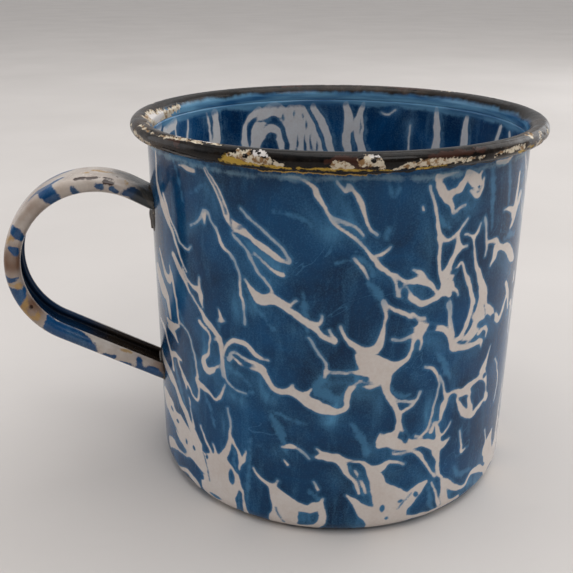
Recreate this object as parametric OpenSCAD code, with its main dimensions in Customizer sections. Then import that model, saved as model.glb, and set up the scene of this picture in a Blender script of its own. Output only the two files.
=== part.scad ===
// Enamelled steel mug: a drawn cup with a rolled rim, and a pressed channel
// handle whose tongues are spot-welded to the wall. Each fired enamel coat is
// its own thin shell, lying face to face with the steel under it.
// The origin is on the floor under the middle of the base. The handle points
// along -X.

/* [Cup] */
// Diameter of the wall over the enamel
wall_d = 83.2; // [60:0.1:110]
// Height from the floor to the top of the rim
height = 81.4; // [60:0.1:120]
// Radius of the outside corner between wall and base
corner_r = 3.5; // [2.5:0.1:6]
// Inner radius of the foot ring that the mug stands on
foot_r = 33; // [20:0.5:35]
// Height of the raised panel in the middle of the base
panel_rise = 0.8; // [0.3:0.1:2]
// Thickness of the cup's steel sheet
sheet_t = 0.5; // [0.4:0.05:0.6]

/* [Rolled rim] */
// Diameter of the rolled bead over its enamel
bead_d = 3.4; // [3.3:0.05:4.2]
// Radius of the enamel fillet between the wall and the bead
neck_r = 1.2; // [0.5:0.1:2]
// How far the black rim coat reaches down inside the lip
rim_band = 0.9; // [0.3:0.1:3]

/* [Enamel] */
// Thickness of each fired coat
coat_t = 0.25; // [0.15:0.01:0.3]
// How far the pooled enamel spreads round each end of the handle
pool_margin = 1.3; // [0.8:0.1:2]

/* [Handle] */
// Outer radius of the round part of the loop
loop_r = 19.4; // [17:0.1:24]
// How far the loop stands out from the wall
loop_reach = 31.8; // [28:0.1:40]
// Height of the loop's top above the floor
loop_top = 70.3; // [62:0.1:72]
// Height at which the straight leg's outer face meets the wall
leg_foot = 21.4; // [15:0.1:25]
// Width of the strap over its enamel
strap_w = 11.6; // [9:0.1:14]
// Depth of the strap's channel section over its enamel
strap_depth = 3.4; // [3:0.1:4]
// Thickness of the strap's steel sheet
strap_t = 0.7; // [0.5:0.05:0.8]

/* [Welded tongues] */
// Width of the tongue at each end of the strap
tongue_w = 5; // [4:0.1:6]
// How far the upper tongue hangs below the strap, along the wall
upper_tongue_l = 4.6; // [3.5:0.1:6]
// Diameter of the upper weld nugget
upper_nugget_d = 3; // [1.5:0.1:3.2]
// Diameter of the lower weld nugget
lower_nugget_d = 1.6; // [1:0.1:1.8]

/* [Hidden] */
$fn = 96;
// Straight stretches run this far past the wall's face, then are cut to it.
run_in = 4;

wall_r = wall_d / 2;
steel_r = wall_r - coat_t;
bore_r = steel_r - sheet_t;
inside_r = bore_r - coat_t;
inside_inset = wall_r - inside_r;

// The bead sits just outside the wall, and its top is the top of the mug.
bead_r = bead_d / 2;
bead_x = wall_r + bead_r;
bead_z = height - bead_r;
curl_r = bead_r - coat_t - sheet_t / 2;
lip_r = bead_x - steel_r + sheet_t / 2;
lip_z = bead_z + curl_r - lip_r;
roll_end = bead_z - 0.4;
band_z = lip_z - rim_band;
neck_x = wall_r + neck_r;
neck_z = bead_z - sqrt(pow(bead_r + neck_r, 2) - pow(bead_x - neck_x, 2));

// The loop is a half circle with a straight run, tangent to it, at both ends.
// The lower run is the leg; both slope down to the wall at the same tilt.
loop_x = -(wall_r + loop_reach - loop_r);
loop_z = loop_top - loop_r;
leg_dx = -wall_r - loop_x;
leg_dz = leg_foot - loop_z;
leg_far = norm([leg_dx, leg_dz]);
tilt = acos(loop_r / leg_far) - atan2(leg_dz, leg_dx) - 90;
leg_l = sqrt(leg_far * leg_far - loop_r * loop_r);

// The strap's section: two round sides joined by a flat crown.
strap_total = strap_t + 2 * coat_t;
side_r = strap_depth / 2;
side_x = strap_w / 2 - side_r;

// Height at which a line this deep in the section meets the wall, at each end.
function root_z(depth) = let (radius = loop_r - depth)
    loop_z + radius * cos(tilt) - (leg_dx - radius * sin(tilt)) * tan(tilt);
function leg_z(depth) = leg_foot + depth / cos(tilt);

crown_depth = coat_t + strap_t / 2;
tongue_r = steel_r + strap_t;
pool_r = tongue_r + coat_t;
upper_tongue_z = root_z(strap_depth) - upper_tongue_l;
upper_nugget_z = (upper_tongue_z + root_z(strap_depth)) / 2;
lower_nugget_z = (leg_z(coat_t + strap_t) + leg_z(strap_depth)) / 2;

// Half section of the space within the cup's outside, drawn in by `inset`.
module cup_space(inset, top) {
    side = wall_r - inset;
    corner = corner_r - inset;
    foot = foot_r + inset * tan(22.5);
    difference() {
        union() {
            translate([0, inset]) square([side - corner, top - inset]);
            translate([0, corner_r]) square([side, top - corner_r]);
            translate([side - corner, corner_r]) circle(corner);
        }
        polygon([
            [-1, -1],
            [foot, -1],
            [foot, inset],
            [foot - panel_rise, inset + panel_rise],
            [-1, inset + panel_rise]
        ]);
    }
}

// One thin layer of the cup's wall and base, between two insets.
module cup_layer(outer_inset, inner_inset, top) {
    difference() {
        cup_space(outer_inset, top);
        cup_space(inner_inset, top + 1);
    }
}

module ring(radius, thickness) {
    difference() {
        circle(radius + thickness / 2);
        circle(radius - thickness / 2);
    }
}

// The lip's first quarter, from the wall to the top of the bead.
module lip_quarter(radius, thickness) {
    size = 2 * bead_d;
    intersection() {
        translate([bead_x, lip_z]) ring(radius, thickness);
        translate([bead_x - size, lip_z]) square(size);
    }
}

// The rest of the roll: down the outside and back underneath.
module roll_turn(radius, thickness) {
    size = 2 * bead_d;
    difference() {
        translate([bead_x, bead_z]) ring(radius, thickness);
        translate([bead_x - size, roll_end]) square(size);
    }
}

// Enamel that fills the crevice between the wall and the underside of the bead.
module neck_fillet() {
    difference() {
        polygon([
            [wall_r, neck_z],
            [neck_x, neck_z],
            [bead_x, bead_z],
            [bead_x, roll_end],
            [wall_r, roll_end]
        ]);
        translate([neck_x, neck_z]) circle(neck_r);
        translate([bead_x, bead_z]) circle(bead_r);
    }
    intersection() {
        translate([steel_r, lip_z]) square([coat_t, roll_end - lip_z]);
        translate([bead_x, lip_z]) circle(lip_r - sheet_t / 2);
    }
}

// The strap's outline drawn in by `inset`: x is across it, y is inwards.
module strap_outline(inset) {
    for (side = [-side_x, side_x])
        translate([side, side_r]) circle(side_r - inset);
    translate([-side_x, inset]) square([2 * side_x, strap_depth - 2 * inset]);
}

// Channel section between two insets, with rolled-in edges and an open back.
module channel(outer_inset, inner_inset) {
    mouth = side_x + outer_inset;
    difference() {
        strap_outline(outer_inset);
        strap_outline(inner_inset);
        translate([-mouth, side_r]) square([2 * mouth, strap_depth]);
    }
}

module steel_channel() channel(coat_t, coat_t + strap_t);

module whole_channel() channel(0, strap_total);

// Runs a section along the whole handle, and cuts it to the steel wall.
module along_handle() {
    difference() {
        translate([loop_x, 0, loop_z]) rotate([0, tilt, 0]) {
            rotate([90, 0, 0]) rotate([0, 0, 90])
                rotate_extrude(angle = 180)
                    translate([loop_r, 0]) rotate(90) children();
            for (end = [0, 1]) mirror([0, 0, end])
                translate([0, 0, loop_r]) rotate([0, 90, 0])
                    linear_extrude(leg_l + run_in) rotate(-90) children();
        }
        cylinder(h = height, r = steel_r);
    }
}

module tube(r1, r2) {
    difference() {
        cylinder(h = height, r = r2);
        translate([0, 0, -1]) cylinder(h = height + 2, r = r1);
    }
}

// A rod along X through the wall on the handle's side.
module wall_rod(diameter, z) {
    translate([-2 * wall_r, 0, z]) rotate([0, 90, 0])
        cylinder(h = 2 * wall_r, d = diameter);
}

// A tongue hugs the wall between two heights.
module tongue(z1, z2) {
    intersection() {
        tube(steel_r, tongue_r);
        translate([-2 * wall_r, -tongue_w / 2, z1])
            cube([2 * wall_r, tongue_w, z2 - z1]);
    }
}

module tongues() {
    tongue(upper_tongue_z, root_z(crown_depth));
    tongue(leg_z(crown_depth), leg_z(strap_depth));
}

module nugget_rods() {
    wall_rod(upper_nugget_d, upper_nugget_z);
    wall_rod(lower_nugget_d, lower_nugget_z);
}

// Enamel pooled on the wall round one end of the handle.
module pool(z1, z2) {
    width = strap_w + 2 * pool_margin;
    difference() {
        intersection() {
            tube(wall_r, pool_r);
            wall_rod(width, (z1 + z2) / 2);
            translate([-2 * wall_r, -width / 2, z1 - pool_margin])
                cube([2 * wall_r, width, z2 - z1 + 2 * pool_margin]);
        }
        along_handle() whole_channel();
        tongues();
    }
}

module steel_cup() {
    color("dimgray") difference() {
        rotate_extrude() {
            cup_layer(coat_t, coat_t + sheet_t, lip_z);
            lip_quarter(lip_r, sheet_t);
            roll_turn(curl_r, sheet_t);
        }
        nugget_rods();
    }
}

module handle_strap() {
    color("gray") difference() {
        union() {
            along_handle() steel_channel();
            tongues();
        }
        nugget_rods();
    }
}

// A weld nugget runs through the tongue and the cup's sheet.
module upper_weld() {
    color("darkgray") intersection() {
        wall_rod(upper_nugget_d, upper_nugget_z);
        tube(bore_r, tongue_r);
    }
}

module lower_weld() {
    color("darkgray") intersection() {
        wall_rod(lower_nugget_d, lower_nugget_z);
        tube(bore_r, tongue_r);
    }
}

module outer_enamel() {
    color("steelblue") difference() {
        rotate_extrude() {
            cup_layer(0, coat_t, lip_z);
            neck_fillet();
        }
        along_handle() whole_channel();
        tongues();
    }
}

module inner_enamel() {
    color("midnightblue") rotate_extrude()
        cup_layer(coat_t + sheet_t, inside_inset, band_z);
}

module rim_enamel() {
    color("black") rotate_extrude() {
        translate([inside_r, band_z]) square([coat_t, rim_band]);
        lip_quarter(lip_r + sheet_t / 2 + coat_t / 2, coat_t);
        roll_turn(bead_r - coat_t / 2, coat_t);
    }
}

module handle_enamel() {
    color("ivory") difference() {
        along_handle() difference() {
            whole_channel();
            steel_channel();
        }
        tongues();
    }
}

module upper_pool_enamel() color("saddlebrown") pool(upper_tongue_z, root_z(0));

module lower_pool_enamel() color("saddlebrown") pool(leg_z(0), leg_z(strap_depth));

steel_cup();
handle_strap();
upper_weld();
lower_weld();
outer_enamel();
inner_enamel();
rim_enamel();
handle_enamel();
upper_pool_enamel();
lower_pool_enamel();
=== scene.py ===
# %% [markdown]
# # An enamelled steel mug, turned, bent and glazed
# A mug like this is a drawn steel cup with a rolled rim and a pressed strap
# handle, dipped in coloured glass and fired. The CAD model gives every size.
# This lesson puts new glass over its steel: four coats and two small pools,
# each a closed mesh in the same frame. The floor is z = 0, the middle of the
# base is the origin, and the handle points along -X.

# %% Load the imported model
import math
import bpy
import bmesh
import numpy as np
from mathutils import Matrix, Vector, noise


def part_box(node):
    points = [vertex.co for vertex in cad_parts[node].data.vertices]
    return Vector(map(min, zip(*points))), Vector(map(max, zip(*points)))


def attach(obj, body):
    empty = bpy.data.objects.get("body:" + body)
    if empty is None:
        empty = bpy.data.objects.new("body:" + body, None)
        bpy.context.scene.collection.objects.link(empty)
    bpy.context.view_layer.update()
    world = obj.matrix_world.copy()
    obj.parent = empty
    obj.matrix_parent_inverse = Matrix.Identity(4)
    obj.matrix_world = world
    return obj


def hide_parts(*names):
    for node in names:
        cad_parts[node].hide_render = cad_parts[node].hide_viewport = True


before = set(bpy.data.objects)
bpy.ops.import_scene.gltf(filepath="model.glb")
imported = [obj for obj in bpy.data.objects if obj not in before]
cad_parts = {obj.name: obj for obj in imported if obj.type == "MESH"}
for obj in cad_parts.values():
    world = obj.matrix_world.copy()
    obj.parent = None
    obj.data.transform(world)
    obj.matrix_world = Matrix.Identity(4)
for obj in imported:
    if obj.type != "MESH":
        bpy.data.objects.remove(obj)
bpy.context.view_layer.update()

print("CAD nodes:", ", ".join(sorted(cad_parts)))

# %% [markdown]
# ## Sizes that everything shares
# Two numbers are the maker's own: the steel sheet is 0.5 mm thick and each
# coat of glass 0.25 mm. The rest is read from the boxes of the CAD nodes, so
# the new pieces fit if the CAD model is packed again with other sizes.

# %% Read the sizes
MM = 0.001
SHEET = 0.5
COAT = 0.25
rim_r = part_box("rim_enamel")[1].x / MM
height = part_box("rim_enamel")[1].z / MM
bore_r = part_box("inner_enamel")[1].x / MM
inside_r = bore_r - COAT
steel_r = bore_r + SHEET
wall_r = steel_r + COAT
bead_r = (rim_r - wall_r) / 2
bead_x = wall_r + bead_r
bead_z = height - bead_r
print(f"wall radius {wall_r:.2f} mm, height {height:.2f} mm, bead radius {bead_r:.2f} mm")

# %% [markdown]
# ## Camera, floor and light
# The camera stands where a person at a table would hold it, a little to the
# handle's side and looking down by 22 degrees. The floor is one big pale
# sheet. A wide soft lamp overhead gives the main light, a weaker one fills
# from the left, and a dim grey world stands for the room, because glossy
# glass shows whatever is around it.

# %% Camera
SWING = math.radians(11.47)
DIP = math.radians(21.77)
camera_data = bpy.data.cameras.new("table_camera")
camera_data.sensor_width = 36
camera_data.lens = 49.0
camera = bpy.data.objects.new("table_camera", camera_data)
camera.location = (-0.0455, -0.1683, 0.1091)
camera.rotation_euler = (math.pi / 2 - DIP, 0, -SWING)
bpy.context.scene.collection.objects.link(camera)
bpy.context.scene.camera = camera
bpy.context.scene.view_settings.view_transform = "Standard"
print("camera is", round(camera.location.length / MM), "mm from the origin")


# %% Small helpers for node trees
def add_node(tree, kind, **values):
    """Adds a node; a value whose name is an input goes to that input."""
    made = tree.nodes.new(kind)
    for name, value in values.items():
        setattr(made, name, value)
    return made


def wire(tree, source, target):
    """Links an output to an input, or sets the input to a plain value."""
    if isinstance(source, bpy.types.NodeSocket):
        tree.links.new(source, target)
    else:
        target.default_value = source


def calc(tree, operation, first, second=0.0, third=0.0, clamp=False):
    """One Math node; returns its output."""
    made = add_node(tree, "ShaderNodeMath", operation=operation, use_clamp=clamp)
    for source, target in zip((first, second, third), made.inputs):
        wire(tree, source, target)
    return made.outputs[0]


def fit_range(tree, value, from_low, from_high, to_low=0.0, to_high=1.0, smooth=False):
    """One Map Range node, clamped; returns its output."""
    made = add_node(tree, "ShaderNodeMapRange", clamp=True)
    if smooth:
        made.interpolation_type = "SMOOTHSTEP"
    for source, name in (
        (value, "Value"),
        (from_low, "From Min"),
        (from_high, "From Max"),
        (to_low, "To Min"),
        (to_high, "To Max"),
    ):
        wire(tree, source, made.inputs[name])
    return made.outputs["Result"]


def blend_colours(tree, factor, first, second, mode="MIX"):
    """One Mix node for colours; returns its output."""
    made = add_node(tree, "ShaderNodeMix", data_type="RGBA", blend_type=mode)
    made.clamp_factor = True
    wire(tree, factor, made.inputs[0])
    wire(tree, first, made.inputs[6])
    wire(tree, second, made.inputs[7])
    return made.outputs[2]


def grain_noise(tree, place, scale, detail=2.0, rough=0.5, twist=0.0):
    """One Noise Texture; returns its value output."""
    made = add_node(tree, "ShaderNodeTexNoise")
    wire(tree, place, made.inputs["Vector"])
    made.inputs["Scale"].default_value = scale
    made.inputs["Detail"].default_value = detail
    made.inputs["Roughness"].default_value = rough
    made.inputs["Distortion"].default_value = twist
    return made.outputs[0]


def stretched_place(tree, place, scale=(1, 1, 1), turn=(0, 0, 0)):
    """One Mapping node on a coordinate; returns its output."""
    made = add_node(tree, "ShaderNodeMapping")
    wire(tree, place, made.inputs["Vector"])
    made.inputs["Scale"].default_value = scale
    made.inputs["Rotation"].default_value = turn
    return made.outputs[0]


def colour(red, green, blue):
    """A screen colour from 0 to 255 as the linear colour that shaders want."""
    parts = [value / 255 for value in (red, green, blue)]
    lin = [p / 12.92 if p < 0.04045 else ((p + 0.055) / 1.055) ** 2.4 for p in parts]
    return (*lin, 1.0)


print("helpers ready")

# %% Floor, lamps and room
FLOOR_SIDE = 8.0
bpy.ops.mesh.primitive_grid_add(x_subdivisions=8, y_subdivisions=8, size=FLOOR_SIDE)
floor = bpy.context.object
floor.name = "floor"
paper = bpy.data.materials.new("pale_paper")
paper.use_nodes = True
tree = paper.node_tree
surface = tree.nodes["Principled BSDF"]
place = add_node(tree, "ShaderNodeTexCoord").outputs["Object"]
soft_patches = grain_noise(tree, place, 9.0, 3.0)
smudges = grain_noise(tree, stretched_place(tree, place, (1, 2.2, 1), (0, 0, 0.6)), 70.0, 4.0)
tone = fit_range(tree, soft_patches, 0.3, 0.7)
sheet = blend_colours(tree, tone, colour(200, 195, 191), colour(207, 202, 198))
marks = fit_range(tree, smudges, 0.60, 0.78, 0.0, 0.16)
wire(tree, blend_colours(tree, marks, sheet, colour(196, 190, 186)), surface.inputs["Base Color"])
surface.inputs["Roughness"].default_value = 0.75
floor.data.materials.append(paper)


def soft_lamp(name, place, aim, size, power, tint=(1, 1, 1)):
    """A square area lamp that looks at a point."""
    data = bpy.data.lights.new(name, "AREA")
    data.size = size
    data.energy = power
    data.color = tint
    lamp = bpy.data.objects.new(name, data)
    lamp.location = place
    lamp.rotation_euler = (Vector(aim) - Vector(place)).to_track_quat("-Z", "Y").to_euler()
    bpy.context.scene.collection.objects.link(lamp)
    return lamp


soft_lamp("overhead_lamp", (0.10, 0.02, 1.20), (0, 0, 0.04), 1.0, 5.2, (1.0, 0.985, 0.965))
soft_lamp("left_lamp", (-1.00, 0.10, 0.60), (0, 0, 0.04), 0.7, 0.7, (0.97, 0.98, 1.0))
soft_lamp("right_lamp", (1.00, 0.20, 0.70), (0, 0, 0.04), 0.7, 2.4, (1.0, 0.99, 0.98))
soft_lamp("front_lamp", (0.30, -0.90, 1.00), (0, 0, 0.04), 0.5, 2.6, (1.0, 0.99, 0.98))
soft_lamp("right_panel", (0.75, 0.42, 0.26), (0, 0, 0.04), 0.6, 1.3, (0.93, 0.96, 1.0))
soft_lamp("left_panel", (-0.80, 0.35, 0.26), (0, 0, 0.04), 0.6, 1.1, (0.93, 0.95, 1.0))
sky_data = bpy.data.lights.new("ceiling", "SUN")
sky_data.energy = 0.85
sky_data.angle = math.radians(100)
ceiling = bpy.data.objects.new("ceiling", sky_data)
ceiling.rotation_euler = (math.radians(-10), math.radians(16), 0)
bpy.context.scene.collection.objects.link(ceiling)

room = bpy.data.worlds.new("grey_room")
bpy.context.scene.world = room
room.use_nodes = True
tree = room.node_tree
direction = add_node(tree, "ShaderNodeTexCoord").outputs["Generated"]
split = add_node(tree, "ShaderNodeSeparateXYZ")
wire(tree, direction, split.inputs[0])
behind = fit_range(tree, split.outputs["Y"], -0.7, 0.6, 0.0, 1.0, True)
above = fit_range(tree, split.outputs["Z"], 0.25, 0.9, 0.0, 1.0, True)
bright = calc(tree, "MAXIMUM", behind, above)
glow = blend_colours(tree, bright, colour(112, 111, 112), colour(214, 213, 214))
wire(tree, glow, tree.nodes["Background"].inputs["Color"])
tree.nodes["Background"].inputs["Strength"].default_value = 0.62
print("floor, lamps and room are in place")

# %% [markdown]
# ## A lathe from Geometry Nodes
# Cup, lining and rim are all turned shapes, so one tree makes the three. It
# could be a Screw modifier, but here the columns can stand closer together
# on the side that carries the finest painting. The tree takes an outline as
# a small mesh of points, looks up one point for every row of a grid, and
# swings it round the axis. A little noise makes the wall as uneven as
# hand-dipped metal. Merging by distance then closes the seam and the poles.

# %% Build the lathe tree
LATHE_INPUTS = (
    ("Outline", "NodeSocketObject"),
    ("Outline Points", "NodeSocketInt"),
    ("Columns", "NodeSocketInt"),
    ("Fine Start", "NodeSocketFloat"),
    ("Fine Span", "NodeSocketFloat"),
    ("Fine Share", "NodeSocketFloat"),
    ("Unevenness", "NodeSocketFloat"),
    ("Finish", "NodeSocketMaterial"),
)


def new_tree(name, inputs):
    """A Geometry Nodes tree with named inputs and one geometry output."""
    tree = bpy.data.node_groups.new(name, "GeometryNodeTree")
    tree.interface.new_socket("Geometry", in_out="OUTPUT", socket_type="NodeSocketGeometry")
    for label, kind in inputs:
        tree.interface.new_socket(label, in_out="INPUT", socket_type=kind)
    return tree, add_node(tree, "NodeGroupInput"), add_node(tree, "NodeGroupOutput")


def look_up(tree, shape, value, index, kind):
    """Reads a value at one point of another mesh."""
    made = add_node(tree, "GeometryNodeSampleIndex", data_type=kind, domain="POINT")
    wire(tree, shape, made.inputs["Geometry"])
    wire(tree, value, made.inputs["Value"])
    wire(tree, index, made.inputs["Index"])
    return made.outputs["Value"]


def finish_tree(tree, geometry, given, result, merge=1e-6):
    """Closes seams, shades smooth, realizes and gives the finish."""
    merged = add_node(tree, "GeometryNodeMergeByDistance")
    merged.inputs["Distance"].default_value = merge
    wire(tree, geometry, merged.inputs["Geometry"])
    smooth = add_node(tree, "GeometryNodeSetShadeSmooth")
    wire(tree, merged.outputs["Geometry"], smooth.inputs["Geometry"])
    real = add_node(tree, "GeometryNodeRealizeInstances")
    wire(tree, smooth.outputs["Geometry"], real.inputs["Geometry"])
    dressed = add_node(tree, "GeometryNodeSetMaterial")
    wire(tree, real.outputs["Geometry"], dressed.inputs["Geometry"])
    wire(tree, given.outputs["Finish"], dressed.inputs["Material"])
    wire(tree, dressed.outputs["Geometry"], result.inputs["Geometry"])


def grid_of_points(tree, columns, rows):
    """A grid with its column and row numbers."""
    grid = add_node(tree, "GeometryNodeMeshGrid")
    wire(tree, columns, grid.inputs["Vertices X"])
    wire(tree, rows, grid.inputs["Vertices Y"])
    index = add_node(tree, "GeometryNodeInputIndex").outputs[0]
    column = calc(tree, "FLOOR", calc(tree, "DIVIDE", calc(tree, "ADD", index, 0.25), rows))
    row = calc(tree, "SUBTRACT", index, calc(tree, "MULTIPLY", column, rows))
    return grid.outputs["Mesh"], column, row


tree, given, result = new_tree("lathe", LATHE_INPUTS)
info = add_node(tree, "GeometryNodeObjectInfo")
wire(tree, given.outputs["Outline"], info.inputs["Object"])
grid, column, row = grid_of_points(tree, given.outputs["Columns"], given.outputs["Outline Points"])
position = add_node(tree, "GeometryNodeInputPosition").outputs[0]
outline_point = look_up(tree, info.outputs["Geometry"], position, row, "FLOAT_VECTOR")
split = add_node(tree, "ShaderNodeSeparateXYZ")
wire(tree, outline_point, split.inputs[0])
share = calc(tree, "DIVIDE", column, calc(tree, "SUBTRACT", given.outputs["Columns"], 1.0))
fine = fit_range(tree, share, 0.0, given.outputs["Fine Share"], 0.0, given.outputs["Fine Span"])
rest_span = calc(tree, "SUBTRACT", 360.0, given.outputs["Fine Span"])
coarse = fit_range(tree, share, given.outputs["Fine Share"], 1.0, 0.0, rest_span)
degrees = calc(tree, "ADD", given.outputs["Fine Start"], calc(tree, "ADD", fine, coarse))
turn = calc(tree, "RADIANS", degrees)
cosine = calc(tree, "COSINE", turn)
sine = calc(tree, "SINE", turn)
ring_place = add_node(tree, "ShaderNodeCombineXYZ")
wire(tree, cosine, ring_place.inputs[0])
wire(tree, sine, ring_place.inputs[1])
wire(tree, calc(tree, "MULTIPLY", split.outputs["Z"], 16.0), ring_place.inputs[2])
unrest = add_node(tree, "ShaderNodeTexNoise")
unrest.inputs["Scale"].default_value = 2.4
unrest.inputs["Detail"].default_value = 1.0
wire(tree, ring_place.outputs[0], unrest.inputs["Vector"])
swell = calc(tree, "MULTIPLY", calc(tree, "SUBTRACT", unrest.outputs[0], 0.5), given.outputs["Unevenness"])
near_axis = fit_range(tree, split.outputs["X"], 0.030, 0.040)
radius = calc(tree, "ADD", split.outputs["X"], calc(tree, "MULTIPLY", swell, near_axis))
turned = add_node(tree, "ShaderNodeCombineXYZ")
wire(tree, calc(tree, "MULTIPLY", radius, cosine), turned.inputs[0])
wire(tree, calc(tree, "MULTIPLY", radius, sine), turned.inputs[1])
wire(tree, split.outputs["Z"], turned.inputs[2])
moved = add_node(tree, "GeometryNodeSetPosition")
wire(tree, grid, moved.inputs["Geometry"])
wire(tree, turned.outputs[0], moved.inputs["Position"])
finish_tree(tree, moved.outputs["Geometry"], given, result)
lathe_tree = tree
print("lathe tree:", len(lathe_tree.nodes), "nodes")


# %% Run a tree on a fresh object and keep the plain mesh
def run_tree(name, tree, **values):
    """Evaluates a tree once and returns a mesh object with no modifier."""
    seed = bpy.data.objects.new(name + "_seed", bpy.data.meshes.new(name + "_seed"))
    bpy.context.scene.collection.objects.link(seed)
    modifier = seed.modifiers.new("tree", "NODES")
    modifier.node_group = tree
    sockets = {s.name: s.identifier for s in tree.interface.items_tree if s.in_out == "INPUT"}
    for label, value in values.items():
        modifier[sockets[label.replace("_", " ")]] = value
    bpy.context.view_layer.update()
    ready = seed.evaluated_get(bpy.context.evaluated_depsgraph_get())
    mesh = bpy.data.meshes.new_from_object(ready)
    mesh.name = name
    bpy.data.objects.remove(seed)
    piece = bpy.data.objects.new(name, mesh)
    bpy.context.scene.collection.objects.link(piece)
    return piece


def face_outward(piece):
    """Turns the normals of a closed mesh outwards."""
    work = bmesh.new()
    work.from_mesh(piece.data)
    bmesh.ops.recalc_face_normals(work, faces=work.faces)
    if work.calc_volume(signed=True) < 0:
        bmesh.ops.reverse_faces(work, faces=work.faces)
    open_edges = sum(1 for edge in work.edges if len(edge.link_faces) != 2)
    print(f"{piece.name}: {sum(len(f.verts) - 2 for f in work.faces)} triangles, {open_edges} open edges")
    work.to_mesh(piece.data)
    work.free()


def point_mesh(name, points, **lists):
    """A helper object: loose points in mm, with optional named values."""
    mesh = bpy.data.meshes.new(name)
    mesh.from_pydata([Vector(p) * MM for p in points], [], [])
    for label, values in lists.items():
        kind = "FLOAT_VECTOR" if np.ndim(values) == 2 else "FLOAT"
        store = mesh.attributes.new(label, kind, "POINT")
        store.data.foreach_set("vector" if kind == "FLOAT_VECTOR" else "value", np.ravel(values))
    helper = bpy.data.objects.new(name, mesh)
    bpy.context.scene.collection.objects.link(helper)
    return helper


# %% [markdown]
# ## Outlines of the three turned coats
# An outline runs from the axis along the glass you can see, then back along
# the side against the steel, so each coat is a closed skin 0.25 mm thick.
# Points stand closer where the outline bends or where painting is fine.

# %% Outline helpers
def run_line(start, end, count):
    """Evenly spaced points from start towards end, without the end."""
    return [
        (start[0] + (end[0] - start[0]) * i / count, start[1] + (end[1] - start[1]) * i / count)
        for i in range(count)
    ]


def run_arc(centre, radius, begin, stop, count):
    """Points on an arc, in degrees, without the last one."""
    turns = [math.radians(begin + (stop - begin) * i / count) for i in range(count)]
    return [(centre[0] + radius * math.cos(t), centre[1] + radius * math.sin(t)) for t in turns]


def turned_piece(name, outline, columns, fine, unevenness, finish):
    """Turns an outline of (radius, height) pairs into a closed piece."""
    helper = point_mesh(name + "_outline", [(r, 0, z) for r, z in outline])
    piece = run_tree(
        name,
        lathe_tree,
        Outline=helper,
        Outline_Points=len(outline),
        Columns=columns,
        Fine_Start=fine[0],
        Fine_Span=fine[1],
        Fine_Share=fine[2],
        Unevenness=unevenness * MM,
        Finish=finish,
    )
    bpy.data.objects.remove(helper)
    face_outward(piece)
    return piece


CORNER = 3.5
FOOT = 33.0
PANEL = 0.8
NECK = 1.2
neck_x = wall_r + NECK
neck_z = bead_z - math.sqrt((bead_r + NECK) ** 2 - (bead_x - neck_x) ** 2)
touch = math.degrees(math.atan2(bead_z - neck_z, bead_x - neck_x))
lip_r = bead_r + 1.0
lip_z = height - lip_r
band_z = lip_z - 0.9

outer_outline = (
    run_line((0, PANEL), (FOOT - PANEL, PANEL), 18)
    + run_line((FOOT - PANEL, PANEL), (FOOT, 0), 3)
    + run_line((FOOT, 0), (wall_r - CORNER, 0), 8)
    + run_arc((wall_r - CORNER, CORNER), CORNER, -90, 0, 14)
    + run_line((wall_r, CORNER), (wall_r, neck_z), 150)
    + run_arc((neck_x, neck_z), NECK, 180, touch, 10)
    + run_arc((bead_x, bead_z), bead_r - 0.05, touch + 180, 195, 4)
    + run_line((steel_r + 0.02, bead_z - 0.4), (steel_r + 0.02, CORNER), 4)
    + run_arc((wall_r - CORNER, CORNER), CORNER - COAT + 0.02, 0, -90, 6)
    + run_line((FOOT, COAT - 0.02), (FOOT - PANEL, PANEL + COAT - 0.02), 2)
    + [(12, PANEL + COAT - 0.02), (0, PANEL + COAT - 0.02)]
)

INSET = wall_r - inside_r
inner_corner = CORNER - INSET
inner_foot = FOOT + 0.4
inner_outline = (
    run_line((0, PANEL + INSET), (inner_foot - PANEL, PANEL + INSET), 24)
    + run_line((inner_foot - PANEL, PANEL + INSET), (inner_foot, INSET), 3)
    + run_line((inner_foot, INSET), (inside_r - inner_corner, INSET), 5)
    + run_arc((inside_r - inner_corner, INSET + inner_corner), inner_corner, -90, 0, 10)
    + run_line((inside_r, INSET + inner_corner), (inside_r, band_z), 130)
    + run_line((inside_r, band_z), (bore_r - 0.02, band_z), 1)
    + run_line((bore_r - 0.02, band_z), (bore_r - 0.02, CORNER), 4)
    + run_arc((wall_r - CORNER, CORNER), bore_r - 0.02 - wall_r + CORNER, 0, -90, 5)
    + run_line((FOOT + 0.3, INSET - COAT + 0.02), (FOOT - 0.5, PANEL + INSET - COAT + 0.02), 2)
    + [(12, PANEL + INSET - COAT + 0.02), (0, PANEL + INSET - COAT + 0.02)]
)

rim_outline = (
    run_line((inside_r, band_z), (inside_r, lip_z), 5)
    + run_arc((bead_x, lip_z), lip_r, 180, 90, 22)
    + run_arc((bead_x, bead_z), bead_r, 90, -150, 46)
    + run_arc((bead_x, bead_z), bead_r - COAT + 0.02, -150, 90, 14)
    + run_arc((bead_x, lip_z), lip_r - COAT + 0.02, 90, 180, 8)
    + run_line((bore_r - 0.02, lip_z), (bore_r - 0.02, band_z), 2)
    + [(bore_r - 0.02, band_z), (inside_r, band_z)]
)
print("outline points:", len(outer_outline), len(inner_outline), len(rim_outline))

# %% [markdown]
# ## Painting with strokes
# The swirl is made when a second, white glass runs over the wet blue one: it
# pulls out into tapering threads that web together where they meet. Noise
# alone gives clouds, not threads, so each thread is laid as a short list of
# (turn in degrees, height in mm, half width in mm). The script measures how
# far every point of the mesh is from the nearest thread and stores it, in mm,
# below zero inside the white. Materials turn that number into an edge. A
# smooth minimum makes the webs, and a smooth maximum cuts the blue islands
# back out of the white.

# %% How far is each point from a thread?
def smooth_less(first, second, reach):
    """A minimum whose corner is rounded over a reach in mm."""
    h = np.clip(0.5 + 0.5 * (second - first) / reach, 0, 1)
    return second + (first - second) * h - reach * h * (1 - h)


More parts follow.
